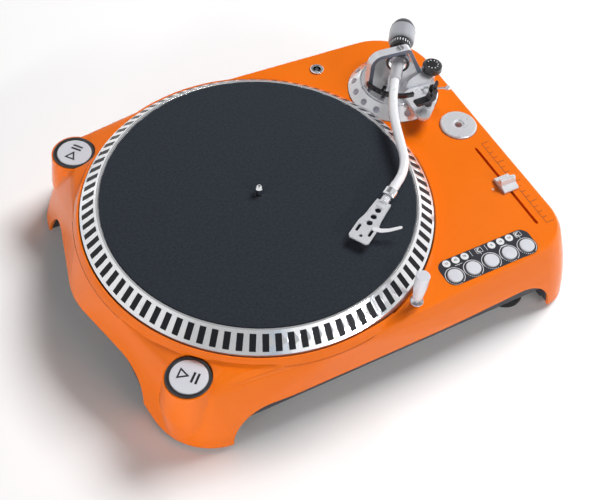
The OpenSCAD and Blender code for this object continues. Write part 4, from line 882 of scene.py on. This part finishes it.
# Studio
# A pale seamless floor under plain soft lights. The camera stands where the photograph's did,
# so that the two pictures can be laid over each other.
floor_mesh = bpy.data.meshes.new("studio_floor")
floor_mesh.from_pydata([(-6, -6, 0), (6, -6, 0), (6, 6, 0), (-6, 6, 0)], [], [(0, 1, 2, 3)])
floor = placed("studio_floor", floor_mesh)
floor.location.z = cad_box[0][2]
floor_paint, tree, shader = finish("pale floor", (0.95, 0.95, 0.95), 0.8, specular=0.0)
path = new_node(tree, "ShaderNodeLightPath").outputs
seen = math_node(tree, "MAXIMUM", path["Is Glossy Ray"], path["Is Transmission Ray"])
seen = math_node(tree, "MAXIMUM", path["Is Camera Ray"], seen)
# Far from the object, where the lamps fall off, the floor is shown as white as it is near by
far = new_node(tree, "ShaderNodeVectorMath", {0: object_place(tree)}, operation="LENGTH")
rise = new_node(tree, "ShaderNodeMapRange",
                {"Value": far.outputs["Value"], "From Min": 0.6, "From Max": 2.6, "To Min": 0.03,
                 "To Max": 1.0}, interpolation_type="SMOOTHSTEP")
glow = new_node(tree, "ShaderNodeEmission",
                {"Strength": math_node(tree, "MULTIPLY", seen, rise.outputs[0])})
both = new_node(tree, "ShaderNodeAddShader", {0: shader.outputs[0], 1: glow.outputs[0]})
tree.links.new(both.outputs[0], tree.nodes["Material Output"].inputs["Surface"])
floor_mesh.materials.append(floor_paint)

world = bpy.data.worlds.new("studio")
bpy.context.scene.world = world
world.use_nodes = True
tree = world.node_tree
tree.nodes.clear()
path = new_node(tree, "ShaderNodeLightPath").outputs
seen = math_node(tree, "MAXIMUM", path["Is Camera Ray"], path["Is Transmission Ray"])
way = new_node(tree, "ShaderNodeSeparateXYZ",
               {0: new_node(tree, "ShaderNodeTexCoord").outputs["Generated"]}).outputs
around = math_node(tree, "ARCTAN2", way["Y"], way["X"])
around = math_node(tree, "MULTIPLY", around, 0.5 / math.pi)
around = math_node(tree, "ADD", around, 0.5)
# What shiny surfaces see round about: a pale room with darker flags to the left and behind
room = new_node(tree, "ShaderNodeValToRGB", {"Fac": around})
greys = {0.0: 0.85, 0.04: 0.80, 0.08: 0.46, 0.19: 0.42, 0.235: 1.0, 0.325: 1.0, 0.40: 0.35,
         0.46: 0.75, 0.55: 0.70, 0.60: 0.24, 0.70: 0.24, 0.76: 0.70, 0.88: 0.90}
blues = {0.215: (0.22, 0.34, 0.48), 0.35: (0.14, 0.22, 0.34)}
stops = sorted({**{at: (grey,) * 3 for at, grey in greys.items()}, **blues}.items())
while len(room.color_ramp.elements) < len(stops):
    room.color_ramp.elements.new(0.5)
for element, (at, colour) in zip(room.color_ramp.elements, stops):
    element.position = at
    element.color = (*colour, 1)
low = new_node(tree, "ShaderNodeMapRange", {"Value": way["Z"], "From Min": 0.28, "From Max": 0.42},
               interpolation_type="SMOOTHSTEP")


def blend(fac, first, second):
    """A mix of two colours; the factor 0 gives the first."""
    inputs = {"Fac": fac, "Color1": first, "Color2": second}
    return new_node(tree, "ShaderNodeMixRGB", inputs).outputs["Color"]


mirrored = blend(low.outputs[0], (0.90, 0.90, 0.90, 1), room.outputs["Color"])
lit = blend(path["Is Glossy Ray"], (0.07, 0.07, 0.07, 1), mirrored)
shine = new_node(tree, "ShaderNodeBackground", {"Color": blend(seen, lit, (1, 1, 1, 1))})
new_node(tree, "ShaderNodeOutputWorld", {"Surface": shine.outputs[0]})


def soft_light(name, place, target, wide, deep, power, reflected=False):
    """A rectangular softbox that faces its target, with its wide side level."""
    data = bpy.data.lights.new(name, "AREA")
    data.shape = "RECTANGLE"
    data.size = wide
    data.size_y = deep
    data.energy = power
    lamp = placed(name, data)
    lamp.visible_glossy = reflected
    facing = (Vector(target) - Vector(place)).to_track_quat("-Z", "Y").to_matrix().to_4x4()
    lamp.matrix_world = Matrix.Translation(place) @ facing


soft_light("key softbox", (2.5, 0.8, 3.1), (0, 0, 0.05), 2.2, 1.5, 185)
soft_light("front strip", (0.62, -1.60, 0.95), (0, -0.1, 0.05), 1.0, 0.06, 7, reflected=True)
soft_light("left fill", (-2.2, -0.9, 0.34), (0, 0, 0.05), 1.6, 0.4, 34)
soft_light("front fill", (0.5, -2.3, 0.34), (0, 0, 0.05), 1.6, 0.4, 6)
bpy.context.scene.view_settings.view_transform = "Standard"

# The camera's place and its three directions were recovered from the photograph's outlines
camera_data = bpy.data.cameras.new("camera")
camera_data.sensor_width = 36
camera_data.lens = 58.89
camera_data.clip_start = 0.01
camera = placed("camera", camera_data)
bpy.context.scene.camera = camera
right = Vector((0.885142, -0.462278, 0.053127))
down = Vector((-0.343728, -0.726528, -0.594985))
ahead = Vector((0.313647, 0.508385, -0.801979))
turn = Matrix((right, -down, -ahead)).transposed().to_4x4()
turn.translation = deck(-270.80, -520.35, 702.80)
camera.matrix_world = turn
